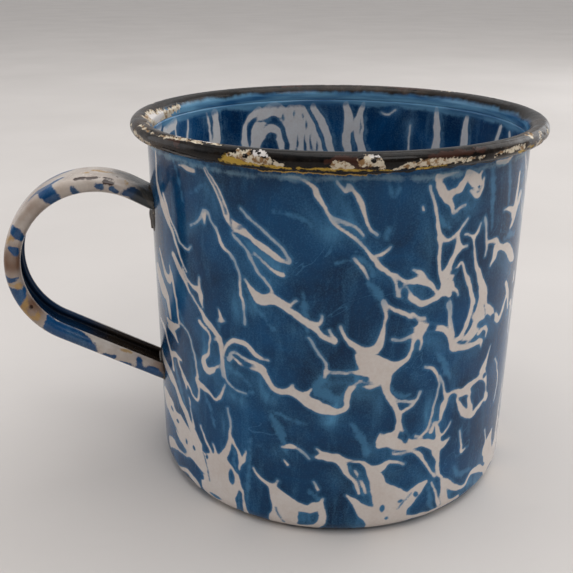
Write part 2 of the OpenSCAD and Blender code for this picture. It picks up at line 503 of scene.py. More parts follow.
def eased_line(knots, parts=4):
    """A smooth line through the knots (Catmull-Rom), widths included."""
    knots = np.asarray(knots, float)
    if len(knots) < 3:
        return knots
    padded = np.vstack([2 * knots[0] - knots[1], knots, 2 * knots[-1] - knots[-2]])
    line = []
    for i in range(1, len(padded) - 2):
        before, a, b, after = padded[i - 1 : i + 3]
        for t in np.arange(parts) / parts:
            line.append(
                0.5 * (2 * a + (b - before) * t + (2 * before - 5 * a + 4 * b - after) * t**2
                + (3 * a - before - 3 * b + after) * t**3)
            )
    line.append(knots[-1])
    line = np.asarray(line)
    line[:, 2] = np.maximum(line[:, 2], 0.03)
    return line


THINNEST = 0.25


def thread_distance(across, up, line):
    """Distance in mm to a chain of tapering bars, and how wide the bar is there."""
    nearest = np.full(len(across), 99.0)
    girth = np.zeros(len(across))
    for (x0, y0, w0), (x1, y1, w1) in zip(line[:-1], line[1:]):
        dx, dy = x1 - x0, y1 - y0
        long = dx * dx + dy * dy + 1e-9
        t = np.clip(((across - x0) * dx + (up - y0) * dy) / long, 0, 1)
        wide = w0 + (w1 - w0) * t
        away = np.hypot(across - x0 - t * dx, up - y0 - t * dy) - np.maximum(wide, THINNEST)
        girth = np.where(away < nearest, wide, girth)
        nearest = np.minimum(nearest, away)
    return nearest, girth


def paint(turns, heights, threads, islands=(), radius=41.6, web=0.9, closed=True, girths=None):
    """The painted field: mm to the nearest thread, below zero inside it."""
    field = np.full(len(turns), 12.0)
    pull = np.full(len(turns), 1e-9)
    per_degree = math.radians(1) * radius
    for knots in threads:
        line = eased_line(knots)
        middle = line[:, 0].mean()
        line[:, 0] = (line[:, 0] - middle) * per_degree
        swing = turns - middle
        if closed:
            swing = (swing + 180) % 360 - 180
        across = swing * per_degree
        reach = 5.0
        near = np.flatnonzero(
            (across > line[:, 0].min() - reach) & (across < line[:, 0].max() + reach)
            & (heights > line[:, 1].min() - reach) & (heights < line[:, 1].max() + reach)
        )
        away, girth = thread_distance(across[near], heights[near], line)
        if girths is not None:
            weight = np.exp(np.clip(-3.0 * away, -24, 8))
            girths[near] = girths[near] + weight * girth
            pull[near] = pull[near] + weight
        field[near] = smooth_less(field[near], away, web)
    if girths is not None:
        girths[:] = girths / pull
    for turn, level, wide, tall in islands:
        swing = turns - turn
        if closed:
            swing = (swing + 180) % 360 - 180
        oval = np.hypot(swing * per_degree / wide, (heights - level) / tall) - 1
        hole = -oval * min(wide, tall)
        field = -smooth_less(-field, -hole, 0.4)
    return field


def wavered(turns, heights, amount, size, seed):
    """Moves sample points by noise, so that no drawn edge is perfect."""
    moved = np.empty((len(turns), 2))
    for i, (turn, level) in enumerate(zip(turns, heights)):
        a = math.radians(turn)
        spot = Vector((math.cos(a), math.sin(a), level / 41.6)) * (41.6 / size)
        shift = noise.noise_vector(spot + Vector((seed, 0, 0)))
        small = noise.noise_vector(spot * 2.7 + Vector((0, seed, 0)))
        moved[i] = (shift.x + 0.45 * small.x, shift.y + 0.45 * small.y)
    return turns + moved[:, 0] * amount / 0.726, heights + moved[:, 1] * amount


def mesh_points(piece):
    """Vertex positions of a piece in mm, with turn and distance from the axis."""
    points = np.empty(len(piece.data.vertices) * 3)
    piece.data.vertices.foreach_get("co", points)
    points = points.reshape(-1, 3) / MM
    return points, np.degrees(np.arctan2(points[:, 1], points[:, 0])), np.hypot(points[:, 0], points[:, 1])


def cut_quads(piece, field):
    """Cuts each four-sided face along the diagonal that follows the painting."""
    sheet = bmesh.new()
    sheet.from_mesh(piece.data)
    for face in list(sheet.faces):
        if len(face.verts) == 4:
            a, b, c, d = face.verts
            first = field[a.index] + field[c.index]
            second = field[b.index] + field[d.index]
            ends = (a, c) if first < second else (b, d)
            bmesh.utils.face_split(face, *ends)
    sheet.to_mesh(piece.data)
    sheet.free()
    piece.data.update()


def store(piece, label, values):
    """Keeps one number per vertex for the materials to read."""
    data = piece.data.attributes.new(label, "FLOAT", "POINT")
    data.data.foreach_set("value", np.asarray(values, np.float32))
    print(f"  {piece.name}.{label}: {np.min(values):.2f} to {np.max(values):.2f}")


# %% [markdown]
# ### The threads on the side that shows
# They fall from top left to bottom right, as the glass ran when the cup was
# turned out of the dip. The first group lies near the handle, the second in
# the middle, the third is the foam of cells on the far right.

# %% Threads near the handle
NEAR_HANDLE = [
    [(-166, 76, 0.4), (-166.3, 72, 0.5), (-165.5, 68.5, 0.7), (-162, 65.5, 0.9), (-159, 63, 0.7),
     (-156.2, 60.5, 0.4), (-152.8, 56.5, 0.3), (-150, 54, 0.15)],
    [(-161.7, 68, 0.4), (-158.3, 64.5, 0.3), (-155.2, 62, 0.2), (-152.8, 59.8, 0.2), (-149.3, 58.7, 0.2),
     (-147.2, 59.7, 0.05)],
    [(-151, 75.3, 0.2), (-148, 75.1, 0.5), (-144.5, 75.2, 0.4)],
    [(-156.9, 56.2, 0.6), (-154.1, 53.7, 0.8), (-151.4, 51.7, 0.4), (-148.6, 49.5, 0.22), (-145.2, 47, 0.25),
     (-142.6, 45, 0.6), (-139.7, 43.5, 0.7), (-137, 42, 0.45)],
    [(-152, 54, 0.2), (-150.3, 52.4, 0.2), (-147.2, 51.2, 0.4), (-144.7, 50.7, 0.65), (-144.1, 49, 0.6),
     (-143.4, 47.6, 0.1)],
    [(-144.6, 53.6, 0.05), (-144.6, 51.4, 0.35)],
    [(-141.7, 67.8, 0.08), (-141.3, 66.8, 0.45), (-141.5, 65.3, 0.1)],
    [(-147, 64, 0.05), (-143.5, 65.6, 0.1), (-140.7, 68, 0.1), (-137.8, 65, 0.1), (-135.3, 62, 0.4),
     (-132.5, 59.8, 0.1), (-130.2, 57, 0.1), (-129.9, 53, 0.3), (-129, 50, 0.15), (-128.7, 46.5, 0.05)],
    [(-137.3, 48.2, 0.25), (-136.9, 47, 0.4), (-136.6, 45.9, 0.25)],
    [(-137.9, 45.8, 0.05), (-136.7, 46, 0.25), (-135.4, 46, 0.05)],
    [(-145.3, 44.2, 0.4), (-142.4, 42.7, 0.3), (-140.8, 41.5, 0.22), (-141.4, 39.5, 0.25), (-142.3, 37.2, 0.3),
     (-144, 35.8, 0.6), (-143.6, 34.3, 0.9), (-142.2, 33.5, 0.8), (-140.3, 34.3, 0.5), (-138.3, 35.6, 0.2)],
    [(-139, 41.3, 0.2), (-137.2, 41.3, 0.6), (-136.9, 39, 0.35), (-136.6, 36, 0.25), (-135.9, 33.5, 0.15),
     (-133.4, 31.7, 0.1), (-129, 31.2, 0.05)],
    [(-154.8, 41.5, 0.1), (-151.4, 40.5, 0.12), (-149.3, 38, 0.12), (-147.9, 35, 0.15), (-147.2, 31.5, 0.25),
     (-147.6, 29.9, 0.5), (-145.2, 28.9, 0.7), (-142.4, 28.6, 0.3), (-139.7, 27.6, 0.3), (-137.6, 29, 0.3),
     (-136.2, 31.7, 0.05)],
    [(-163.1, 32, 0.6), (-159.7, 32.5, 0.6), (-155.5, 32.5, 0.3)],
    [(-157.6, 31.5, 0.3), (-154.6, 28.6, 0.4), (-153.4, 26.2, 0.3)],
    [(-154.6, 28.4, 0.5), (-151.4, 27, 0.3), (-149.3, 25.3, 0.3), (-147.4, 25, 0.3), (-146.9, 27, 0.2),
     (-147.2, 29.5, 0.2)],
    [(-152.1, 24.2, 0.25), (-151.7, 22.3, 0.15)],
    [(-159.9, 53, 0.2), (-158, 49, 0.5), (-156.6, 45.5, 0.35), (-155.9, 41.5, 0.3)],
    [(-168, 55, 0.3), (-164.5, 51, 0.7), (-161.5, 49.8, 0.9), (-159, 51, 0.4)],
    [(-172, 49, 1.8), (-167.5, 46.5, 2.0), (-163.5, 45, 1.2), (-161.5, 41, 0.5)],
    [(-164, 39.5, 0.5), (-159.7, 39.2, 0.9), (-156.2, 40.6, 0.3)],
    [(-164, 38, 0.3), (-159.7, 37.6, 0.7), (-156.9, 36.2, 0.2)],
    [(-173, 37, 0.4), (-168, 36.5, 0.7), (-165.5, 34, 0.5), (-162.5, 31.5, 0.5), (-161.4, 28.5, 0.5)],
    [(-174, 28, 1.2), (-168, 26.5, 1.4), (-163, 25.5, 1.4), (-160, 24, 0.8), (-157.5, 21.7, 0.9),
     (-154.5, 19.5, 0.9), (-151.4, 16.5, 1.0), (-148, 13.8, 1.0)],
    [(-172, 17.5, 2.6), (-165, 16.5, 2.8), (-158, 14, 3.4), (-152, 11.5, 3.0), (-147, 10.5, 2.2)],
    [(-147, 9.8, 2.2), (-142, 9, 4.2), (-138.5, 9.5, 4.4), (-137, 7, 3.4)],
    [(-144, 4, 2.6), (-139, 3.5, 3.6), (-135.5, 2.5, 1.6)],
    [(-137.5, 14, 1.0), (-136, 16.5, 0.7), (-135.1, 18.6, 0.4), (-134.5, 22.5, 0.15), (-135.5, 26.5, 0.05)],
    [(-170, 6, 1.4), (-163, 8, 1.2), (-156, 9.5, 1.6)],
    [(-162, 2.5, 0.5), (-155, 4, 0.6), (-150, 2.5, 0.9)],
    [(-146.9, 19, 0.15), (-145.3, 16.5, 0.3), (-142.8, 14, 0.35)],
    [(-151.6, 21.5, 0.1), (-150.3, 17.8, 0.35)],
    [(-141.7, 16.2, 0.1), (-140.5, 14.4, 0.4)],
    [(-134.1, 19.3, 0.3), (-132.3, 17, 0.3), (-131, 15, 0.45), (-129.6, 17.6, 0.15)],
    [(-131, 15, 0.4), (-131.7, 12.5, 0.15)],
    [(-132.6, 11, 0.2), (-131.8, 8.5, 0.5), (-130.6, 6.5, 0.25), (-130.2, 3.5, 0.35), (-130.3, 1, 0.6)],
]
NEAR_HANDLE_GAPS = [
    (-160.5, 18.6, 2.0, 1.2), (-165.2, 16.8, 0.9, 0.6), (-161, 15.4, 0.8, 0.45), (-155.3, 12.2, 0.5, 0.9),
    (-151, 12, 0.7, 0.8), (-144.3, 11.8, 0.45, 0.6), (-168.5, 12.5, 2.2, 1.6), (-160, 9.2, 3.4, 1.3),
    (-152, 7.0, 4.4, 0.7), (-147.3, 5.7, 0.9, 0.9), (-141.5, 2.6, 1.9, 0.6), (-162, 21.5, 1.3, 1.4),
    (-134.7, 10, 0.8, 1.9), (-167, 23.4, 1.8, 0.8),
]
print(len(NEAR_HANDLE), "threads near the handle")

# %% Threads in the middle
MIDDLE = [
    [(-140.3, 75.9, 0.4), (-138, 74, 0.6), (-135.5, 71, 0.66), (-133.5, 68, 0.62), (-131.5, 66.3, 0.75),
     (-129.6, 65.6, 0.75), (-126.8, 64.4, 0.4), (-123.4, 62.8, 0.65), (-119.6, 61, 0.55), (-116.4, 60.3, 0.15)],
    [(-129.4, 69.6, 0.05), (-126.2, 67.6, 0.1), (-122.6, 65.7, 0.1), (-118.6, 63.2, 0.1), (-116.2, 60.8, 0.1)],
    [(-126, 61.3, 0.08), (-123, 59.6, 0.15), (-120.6, 58.4, 0.3), (-118, 57.7, 0.45)],
    [(-132, 64.6, 0.1), (-128.5, 62, 0.1), (-125.8, 59, 0.12), (-123, 56.5, 0.15), (-120.8, 54.2, 0.15)],
    [(-128.3, 56, 0.08), (-126.7, 54.2, 0.5), (-124.3, 52.4, 1.15), (-121.5, 52.7, 1.1), (-119.2, 52.4, 1.0),
     (-117, 51.2, 0.6), (-113.7, 49.7, 0.55), (-110, 48, 0.6), (-106.8, 45.9, 0.45), (-104.4, 45, 0.4)],
    [(-118.4, 52, 0.4), (-116, 52, 0.3), (-114.5, 53, 0.06)],
    [(-110, 48.4, 0.4), (-108, 48.9, 0.3), (-107.6, 50.2, 0.05)],
    [(-105.5, 47.4, 0.06), (-104.2, 45.3, 0.35)],
    [(-118, 76.1, 0.06), (-113.5, 76.1, 0.12), (-110, 74.8, 0.45), (-109.3, 73, 0.5), (-107.8, 71.2, 0.32),
     (-105.4, 68.3, 0.22), (-102.3, 66.6, 0.3), (-99.6, 65.2, 0.18), (-97.5, 63.5, 0.18), (-95.9, 62, 0.4),
     (-93.6, 60.2, 0.5), (-91.2, 58.6, 0.4), (-89.4, 57.8, 0.25)],
    [(-105.6, 69, 0.06), (-102.3, 68.2, 0.12), (-99.9, 67.5, 0.18), (-98, 65.9, 0.15)],
    [(-102, 75.2, 0.1), (-99.6, 73, 0.35), (-97.9, 70, 0.38), (-96.3, 67.2, 0.22), (-94.4, 66, 0.06)],
    [(-104.8, 76, 0.06), (-102.6, 74.2, 0.22), (-101.8, 75.2, 0.06)],
    [(-99.9, 61.9, 0.1), (-98.2, 60, 0.28), (-96.2, 57.8, 0.1)],
    [(-94.3, 61.9, 0.15), (-92.8, 62.2, 0.3), (-91, 63.7, 0.06)],
    [(-103, 48, 0.15), (-101.3, 45.8, 0.35), (-98.9, 44, 0.6), (-96.1, 43, 0.8), (-93.4, 43.3, 0.9),
     (-92.1, 45.5, 0.6), (-91.7, 48, 0.35), (-91.1, 50, 0.3), (-92.1, 53, 0.12)],
    [(-97.8, 42, 0.8), (-95.6, 40.3, 1.7), (-92.8, 38.8, 2.0), (-90.8, 37, 1.3), (-90.3, 35, 0.8),
     (-89.2, 32.7, 0.6), (-87.2, 30.2, 0.5), (-86.1, 28.3, 0.6), (-85.8, 26, 0.4), (-86.8, 24, 0.7),
     (-89.6, 22.8, 1.2), (-91.3, 21.7, 0.6)],
    [(-93, 40, 1.8), (-90.2, 39, 1.6), (-87.6, 39.5, 0.9), (-85, 40.5, 0.5), (-83.8, 42.2, 0.3),
     (-83, 44.3, 0.45), (-81.4, 46, 0.9)],
    [(-90.9, 24.2, 0.15), (-90.9, 22.6, 0.5)],
    [(-88.8, 22.4, 1.1), (-85.7, 21.4, 1.1), (-82.2, 20.7, 1.1), (-79, 20.8, 0.9), (-76.2, 20.2, 0.9),
     (-73.4, 18.9, 1.1), (-71, 18.6, 0.7), (-68.8, 19.4, 0.15)],
    [(-85.7, 26, 0.35), (-84, 24, 0.25), (-82.2, 21.5, 0.3)],
    [(-85.7, 28.5, 0.4), (-83.2, 29.6, 0.25), (-81.2, 30.8, 0.22), (-79.8, 32.8, 0.06)],
    [(-89.8, 34, 0.2), (-87, 31.9, 0.15), (-82.2, 30.8, 0.2)],
    [(-96.1, 38.2, 0.7), (-99.6, 38.5, 0.22), (-102.3, 38.2, 0.2), (-106.2, 38.4, 0.15)],
    [(-111, 45.6, 0.05), (-108.2, 42.3, 0.07), (-106.3, 40, 0.15), (-106.5, 38, 0.3), (-107, 37.2, 0.06)],
    [(-93, 36.3, 1.1), (-95.3, 35.6, 0.7), (-97.5, 36.3, 0.35), (-99.6, 35, 0.35), (-100.6, 32.5, 0.45),
     (-100.7, 30.8, 0.55), (-102.5, 29.9, 0.6), (-105.8, 30.1, 0.95), (-109.2, 31.1, 1.3), (-112.7, 32.5, 1.0),
     (-116.1, 33.5, 0.7), (-119.6, 33.4, 0.45), (-121.7, 34.8, 0.45), (-123.7, 36.8, 0.6), (-127.4, 37.4, 0.35),
     (-130.5, 37.6, 0.4), (-132.8, 38.5, 0.25), (-134.3, 37.6, 0.12)],
    [(-111.8, 33.4, 0.5), (-110.2, 34.6, 0.15)],
    [(-115.8, 33.6, 0.4), (-115.5, 34.9, 0.06)],
    [(-101, 32.6, 0.3), (-100.7, 34.4, 0.3), (-99.9, 35.3, 0.3)],
    [(-123.2, 37.5, 0.3), (-125.4, 38.3, 0.45), (-128.6, 38.9, 0.2), (-132.5, 39.9, 0.15), (-134.6, 38, 0.08)],
    [(-122.3, 39.8, 0.1), (-125.1, 40.2, 0.5), (-127.4, 41.3, 0.5), (-129.9, 42.5, 0.5), (-132.4, 42.5, 0.5),
     (-134.4, 41.2, 0.32), (-136.2, 38.8, 0.2), (-137, 36, 0.15), (-136.8, 33.8, 0.1)],
    [(-127.2, 14, 0.15), (-125.1, 12, 0.35), (-121.9, 10.6, 0.5), (-119.8, 8.6, 1.6), (-118, 6.4, 2.6),
     (-117.5, 4, 3.0), (-119, 2, 2.6)],
    [(-119.4, 12.3, 0.06), (-120.6, 10.8, 0.3)],
    [(-115.5, 7.2, 1.0), (-111.3, 6.4, 0.9), (-108.2, 7, 1.1), (-106.5, 5.6, 0.8), (-107, 3.4, 0.8),
     (-109, 1.6, 0.9), (-114, 1.2, 0.6)],
    [(-106.5, 9.2, 0.06), (-107.3, 7.5, 0.6)],
    [(-118.3, 20.7, 0.15), (-115.5, 21.3, 0.6), (-113.3, 20.7, 0.15), (-110.5, 18.7, 0.05)],
    [(-117.6, 17.6, 0.2), (-116.5, 16.8, 0.3)],
    [(-109.2, 13, 0.05), (-107.6, 11.2, 0.28)],
    [(-108.6, 21, 0.08), (-106.9, 20, 0.4), (-105.4, 19.3, 0.8)],
    [(-108.9, 19.2, 0.25), (-105.8, 19.3, 0.9), (-103, 18.9, 1.0), (-101.3, 17.5, 0.85), (-99.5, 15.2, 0.4),
     (-97.4, 13, 0.35), (-96.4, 10.5, 0.3)],
    [(-102.8, 19.3, 0.6), (-98.9, 18.5, 0.3), (-96.1, 18.2, 0.3), (-93.8, 16.7, 0.7), (-92, 14.5, 1.0)],
    [(-97.7, 16, 0.15), (-95.4, 13, 0.35), (-94.1, 10.6, 0.4)],
    [(-99.7, 10.2, 0.2), (-97, 8, 0.8), (-94.5, 6, 1.5), (-92, 4.2, 2.0), (-92, 1.5, 1.2)],
    [(-92.6, 16, 0.9), (-89.8, 16.6, 0.8), (-88.2, 17.6, 0.45), (-85.6, 17.3, 0.3), (-83.4, 16.4, 0.1)],
    [(-91.4, 14, 1.3), (-90.3, 11.5, 1.9), (-88.4, 9, 3.0), (-86, 6.8, 3.4), (-87, 4.2, 3.2)],
    [(-84.5, 5, 2.8), (-80.8, 7.8, 1.6), (-78.2, 9.4, 1.0), (-75.8, 10.6, 0.4)],
    [(-93, 1.4, 0.9), (-85, 1.6, 1.1), (-79, 2.5, 0.7), (-74, 1.8, 0.5), (-69, 2.5, 0.5), (-62, 2.8, 0.5)],
    [(-87, 19.6, 0.2), (-84.3, 19, 0.15), (-81.5, 19, 0.25), (-78.8, 17.8, 0.5), (-76.7, 15.5, 0.3),
     (-74.6, 13, 0.28), (-72.6, 11.2, 0.2)],
]
MIDDLE_GAPS = [
    (-132.2, 67.2, 0.2, 1.4), (-129.6, 65.9, 1.0, 0.16), (-128.3, 37.6, 1.2, 0.5), (-96.2, 35.9, 1.8, 0.35),
    (-106.7, 31.7, 0.35, 0.2), (-83.7, 23, 0.8, 1.7), (-111.3, 4.1, 1.6, 1.5), (-97.8, 17.2, 1.0, 0.45),
    (-95.8, 14.6, 0.7, 0.9), (-89.3, 6.2, 0.6, 0.9), (-83.8, 7.5, 0.7, 0.45), (-87.8, 3.5, 0.5, 0.4),
    (-79.2, 8.3, 0.6, 0.7), (-78.8, 4.3, 1.8, 1.4), (-93.8, 11.2, 0.3, 0.8), (-107.8, 5.9, 0.2, 0.15),
]
print(len(MIDDLE), "threads in the middle")

# %% The foam of cells on the far side
FOAM = [
    [(-89.5, 57.8, 0.25), (-88.6, 55.4, 0.2), (-87.7, 53.9, 0.3), (-84.3, 53, 0.5), (-81.2, 51.7, 0.6),
     (-77.6, 52.5, 0.55), (-75.3, 53.6, 0.8), (-73.4, 54.4, 1.2)],
    [(-88.8, 57.6, 0.22), (-86.2, 56.6, 0.3), (-83.6, 56.4, 0.6), (-81.7, 56.4, 0.85), (-79.4, 55.6, 0.6),
     (-77.6, 54, 0.3), (-76.6, 53.4, 0.3)],
    [(-84.5, 58.7, 0.06), (-82.4, 58, 0.4), (-81.4, 57, 0.5)],
    [(-88.5, 54, 0.1), (-86.6, 55.6, 0.15), (-85, 54, 0.12), (-84.6, 52.8, 0.15)],
    [(-81, 74.5, 0.1), (-79.8, 71.5, 0.22), (-78.8, 68.2, 0.32), (-77.5, 65, 0.5), (-77, 62.5, 0.35),
     (-77.3, 60, 0.4), (-76.6, 58, 0.4), (-75.2, 55.8, 0.7), (-73.8, 53.8, 1.0), (-72.8, 52.6, 0.6)],
    [(-77.4, 64.4, 0.4), (-74.6, 63.5, 0.32), (-71.9, 64.7, 0.3), (-68.8, 67.2, 0.08)],
    [(-71.6, 64.5, 0.25), (-71.2, 62, 0.5), (-70.2, 61.7, 0.35), (-68.2, 61.6, 0.1)],
    [(-71.2, 62, 0.5), (-72.8, 59.3, 0.5), (-74.4, 57, 0.8)],
    [(-72.6, 56.4, 0.7), (-71, 57.6, 0.35), (-69.6, 58.6, 0.25), (-68.4, 57, 0.3), (-66.6, 54.6, 0.45),
     (-65, 52, 0.45), (-63.8, 49.2, 0.6)],
    [(-72.4, 54.4, 0.4), (-70.6, 53.2, 0.3), (-69.8, 52, 0.08)],
    [(-69.1, 64.1, 0.15), (-66.3, 63.3, 0.28), (-64.6, 64, 0.28), (-63.2, 65.8, 0.08)],
    [(-66, 63, 0.3), (-64.8, 60.5, 0.25), (-63.7, 57.5, 0.4), (-62.4, 55, 0.7), (-60.6, 52.6, 1.0),
     (-59.4, 50, 1.4), (-59.6, 47.6, 1.7), (-62, 46.4, 1.0)],
    [(-61.9, 66.8, 0.06), (-60.9, 63.5, 0.18), (-59.9, 60.5, 0.25), (-60.1, 58.6, 0.1)],
    [(-63.8, 49.6, 0.5), (-64.6, 47, 0.55), (-65.8, 44.8, 0.5), (-67.4, 43, 0.6), (-69.2, 41.8, 0.8)],
    [(-69.6, 41.2, 0.8), (-66.3, 41.4, 0.9), (-62.9, 42.6, 1.3), (-60.6, 44.6, 1.4), (-57, 46.6, 1.0),
     (-54.2, 45.4, 0.9), (-51.4, 43.6, 1.0), (-48.6, 42.2, 0.6), (-46.3, 44, 0.5), (-43.9, 46.4, 0.4)],
    [(-69.8, 40.4, 0.5), (-65, 39.9, 0.5), (-61, 39.7, 0.5), (-58.2, 39.8, 0.6), (-57.8, 38.6, 0.15)],
    [(-59.6, 41.8, 0.5), (-57.6, 42.8, 0.5), (-55.6, 41.6, 0.4), (-55.9, 40.4, 0.15)],
    [(-70.2, 41.4, 0.7), (-71.9, 43.8, 0.6), (-74, 45.4, 0.6), (-76.7, 46.2, 0.6), (-79.4, 46.8, 0.8),
     (-81.6, 47, 1.1), (-83.4, 48.4, 0.5), (-85, 49.6, 0.4), (-87.7, 50.6, 0.4), (-90.5, 51.8, 0.25),
     (-92.2, 53.2, 0.1)],
    [(-81.4, 46, 0.6), (-80.6, 43.6, 0.25), (-81.2, 42.3, 0.1)],
    [(-89.1, 45.2, 0.1), (-86.6, 44.8, 0.12), (-83.6, 45.3, 0.15)],
    [(-83.8, 50, 0.3), (-82.2, 49, 0.15), (-80.2, 48.6, 0.15)],
    [(-73.4, 50.8, 0.06), (-72.1, 47, 0.2), (-70.8, 44, 0.3)],
    [(-72.3, 51, 0.05), (-71.3, 47, 0.15), (-70.2, 43.4, 0.2)],
    [(-78.9, 38, 0.1), (-76.3, 37, 0.32), (-74.6, 35, 0.25), (-74.3, 32.3, 0.12), (-75, 28, 0.18),
     (-76.3, 24.2, 0.22), (-78.8, 22.3, 0.25), (-80.6, 22.6, 0.1)],
    [(-73.8, 35.2, 0.06), (-72, 32, 0.22), (-70.9, 30, 0.4)],
    [(-75.6, 22.6, 0.5), (-74.2, 24.5, 0.25), (-73.4, 23, 0.5), (-72.8, 21, 0.6), (-72.4, 19, 0.8)],
    [(-72, 21, 0.3), (-70.2, 21.4, 0.3), (-68.2, 23.4, 0.05)],
    [(-74.2, 24.5, 0.15), (-72.4, 25, 0.2), (-72, 27.6, 0.6), (-70.9, 29, 0.5), (-69.6, 30.2, 0.4),
     (-66.8, 30.2, 0.5), (-64, 29.4, 1.0), (-61.8, 30.2, 0.8), (-58.6, 30.7, 0.5), (-55.6, 31.2, 0.8)],
    [(-66.4, 29.8, 0.4), (-66.2, 28.2, 0.3), (-64.8, 26.2, 0.6), (-63.4, 24.6, 0.9), (-61, 23.2, 0.9),
     (-58.6, 22.6, 0.7), (-56.4, 23.5, 0.5), (-53.9, 24.4, 0.35), (-51.2, 25.4, 0.1)],
    [(-63, 29.6, 1.0), (-61, 27.6, 0.7), (-60.6, 25.6, 0.7), (-60, 24, 0.8)],
    [(-55.4, 31.4, 1.0), (-53.2, 29.4, 0.6), (-52.6, 26.4, 0.5), (-51.6, 24.6, 0.8)],
    [(-56.6, 32.4, 0.4), (-54.9, 33.3, 0.8), (-53.6, 35, 0.3), (-52.2, 37.2, 0.1)],
    [(-73.2, 17.6, 1.0), (-72.1, 15.6, 0.55), (-72.2, 13.4, 0.45), (-71.2, 11, 0.35), (-70.2, 10.2, 0.3)],
    [(-64.3, 20.2, 0.06), (-63.1, 17, 0.25), (-62.4, 14.6, 0.4), (-60.6, 15, 0.1)],
    [(-73.6, 9.8, 0.15), (-71.9, 7, 0.3), (-70.4, 3.6, 0.5)],
    [(-69.9, 9.4, 0.35), (-67.6, 8.2, 0.8), (-65.4, 6.4, 0.8), (-62.4, 5.2, 0.6), (-58.8, 5, 0.4),
     (-56.6, 7, 0.5), (-54, 7, 0.8), (-51.2, 6.4, 0.9), (-48.4, 5, 0.8), (-44, 4, 0.6)],
    [(-69.4, 8.6, 0.6), (-68.6, 5.4, 0.9), (-67.4, 3, 0.8)],
    [(-79.3, 75.9, 0.4), (-77.6, 73.6, 0.9), (-76.2, 71.7, 0.8), (-74.3, 70, 0.45), (-73.4, 68.8, 0.2),
     (-71.6, 69.6, 0.2), (-70, 69.8, 0.15)],
    [(-79.3, 76, 0.35), (-76.4, 76, 0.25), (-73, 76.2, 0.2)],
    [(-76, 72, 0.8), (-74, 73, 0.7), (-72, 73.6, 0.9), (-70.6, 74.8, 0.5), (-70.1, 76.2, 0.3)],
    [(-69.4, 75.6, 0.7), (-67.4, 74.4, 1.3), (-65.9, 74.2, 1.0), (-64.8, 75.6, 0.5)],
    [(-68.6, 72.4, 0.15), (-66, 71, 0.45), (-64.2, 72.4, 0.28), (-63.6, 74.6, 0.15)],
    [(-67.4, 72.2, 0.1), (-65.6, 72.6, 0.2), (-64.6, 74, 0.15)],
    [(-82.9, 70.8, 0.15), (-82.6, 70, 0.25)],
    [(-52.6, 66.7, 0.1), (-49.1, 66.2, 0.5), (-45, 65.2, 0.8), (-42, 66.5, 0.3)],
    [(-44, 73, 0.4), (-45.2, 64.4, 0.8), (-47.2, 62.4, 0.2)],
    [(-59.4, 61.2, 0.25), (-56.7, 61, 0.4), (-54.8, 60.2, 0.5), (-55.5, 58, 0.8), (-57.5, 56, 0.15)],
    [(-55.2, 59.2, 0.7), (-51.9, 59, 0.7), (-48.4, 58, 1.0), (-44, 55.5, 1.3), (-41, 54, 0.6)],
    [(-58.8, 76.8, 0.4), (-54.6, 76.3, 0.5), (-51.5, 76.9, 0.3)],
    [(-46, 50, 0.5), (-43, 47, 0.7), (-41, 43, 0.4)],
    [(-48, 33, 0.1), (-45, 30, 0.25), (-43.4, 26, 0.25), (-44.6, 21.5, 0.1)],
    [(-50, 16, 0.1), (-48, 12, 0.3), (-47, 7, 0.4)],
]
FOAM_GAPS = [
    (-40.5, 16, 2.0, 8),
    (-64.4, 75.2, 0.35, 0.8),
    (-86.7, 54, 0.8, 1.6), (-58.8, 44, 1.8, 0.9), (-62.9, 47.7, 0.5, 0.9), (-66, 41.2, 1.1, 0.35),
    (-67.9, 41.6, 0.7, 0.35), (-77.8, 46.4, 1.2, 1.0), (-83.9, 47.9, 1.3, 1.0), (-51.4, 46.2, 1.2, 1.8),
    (-63, 27.7, 1.0, 0.7), (-68.5, 29.2, 1.3, 0.8), (-71.6, 57, 1.1, 0.6), (-62.7, 51.8, 0.5, 1.6),
    (-56.6, 27.3, 3.0, 2.6), (-73.9, 74.5, 0.9, 1.0), (-65.6, 72.9, 0.4, 0.4), (-54.3, 30.8, 0.8, 0.6),
    (-74, 5.5, 1.7, 2.6), (-53.4, 43.4, 1.3, 1.4),
]
FRONT = NEAR_HANDLE + MIDDLE + FOAM
FRONT_GAPS = NEAR_HANDLE_GAPS + MIDDLE_GAPS + FOAM_GAPS
print(len(FRONT), "threads and", len(FRONT_GAPS), "islands on the front")

# %% Blue lines that split the white, and pale veils beside it
SPLITS = [
    [(-140.4, 76.2, 0.1), (-138, 74, 0.12), (-135.5, 71, 0.12), (-133.6, 68.2, 0.1)],
    [(-163.8, 72.4, 0.2), (-163.2, 69.6, 0.4), (-161.6, 68.6, 0.2)],
    [(-166, 22.6, 0.3), (-160.8, 20.4, 0.6), (-158.2, 18.8, 0.5), (-156.8, 17.6, 0.2)],
    [(-170, 14.6, 0.4), (-164.4, 13, 0.5), (-161, 12.4, 0.2)],
    [(-84.6, 5.6, 0.1), (-82.4, 7.4, 0.12), (-80.6, 8.8, 0.1)],
    [(-146, 12.4, 0.1), (-144.4, 9.4, 0.2), (-143.8, 6, 0.1)],
    [(-58.4, 47.6, 0.1), (-57, 44.8, 0.3), (-55.6, 43, 0.2)],
    [(-120.6, 5.6, 0.1), (-118.8, 3.4, 0.3), (-117.8, 2, 0.1)],
]
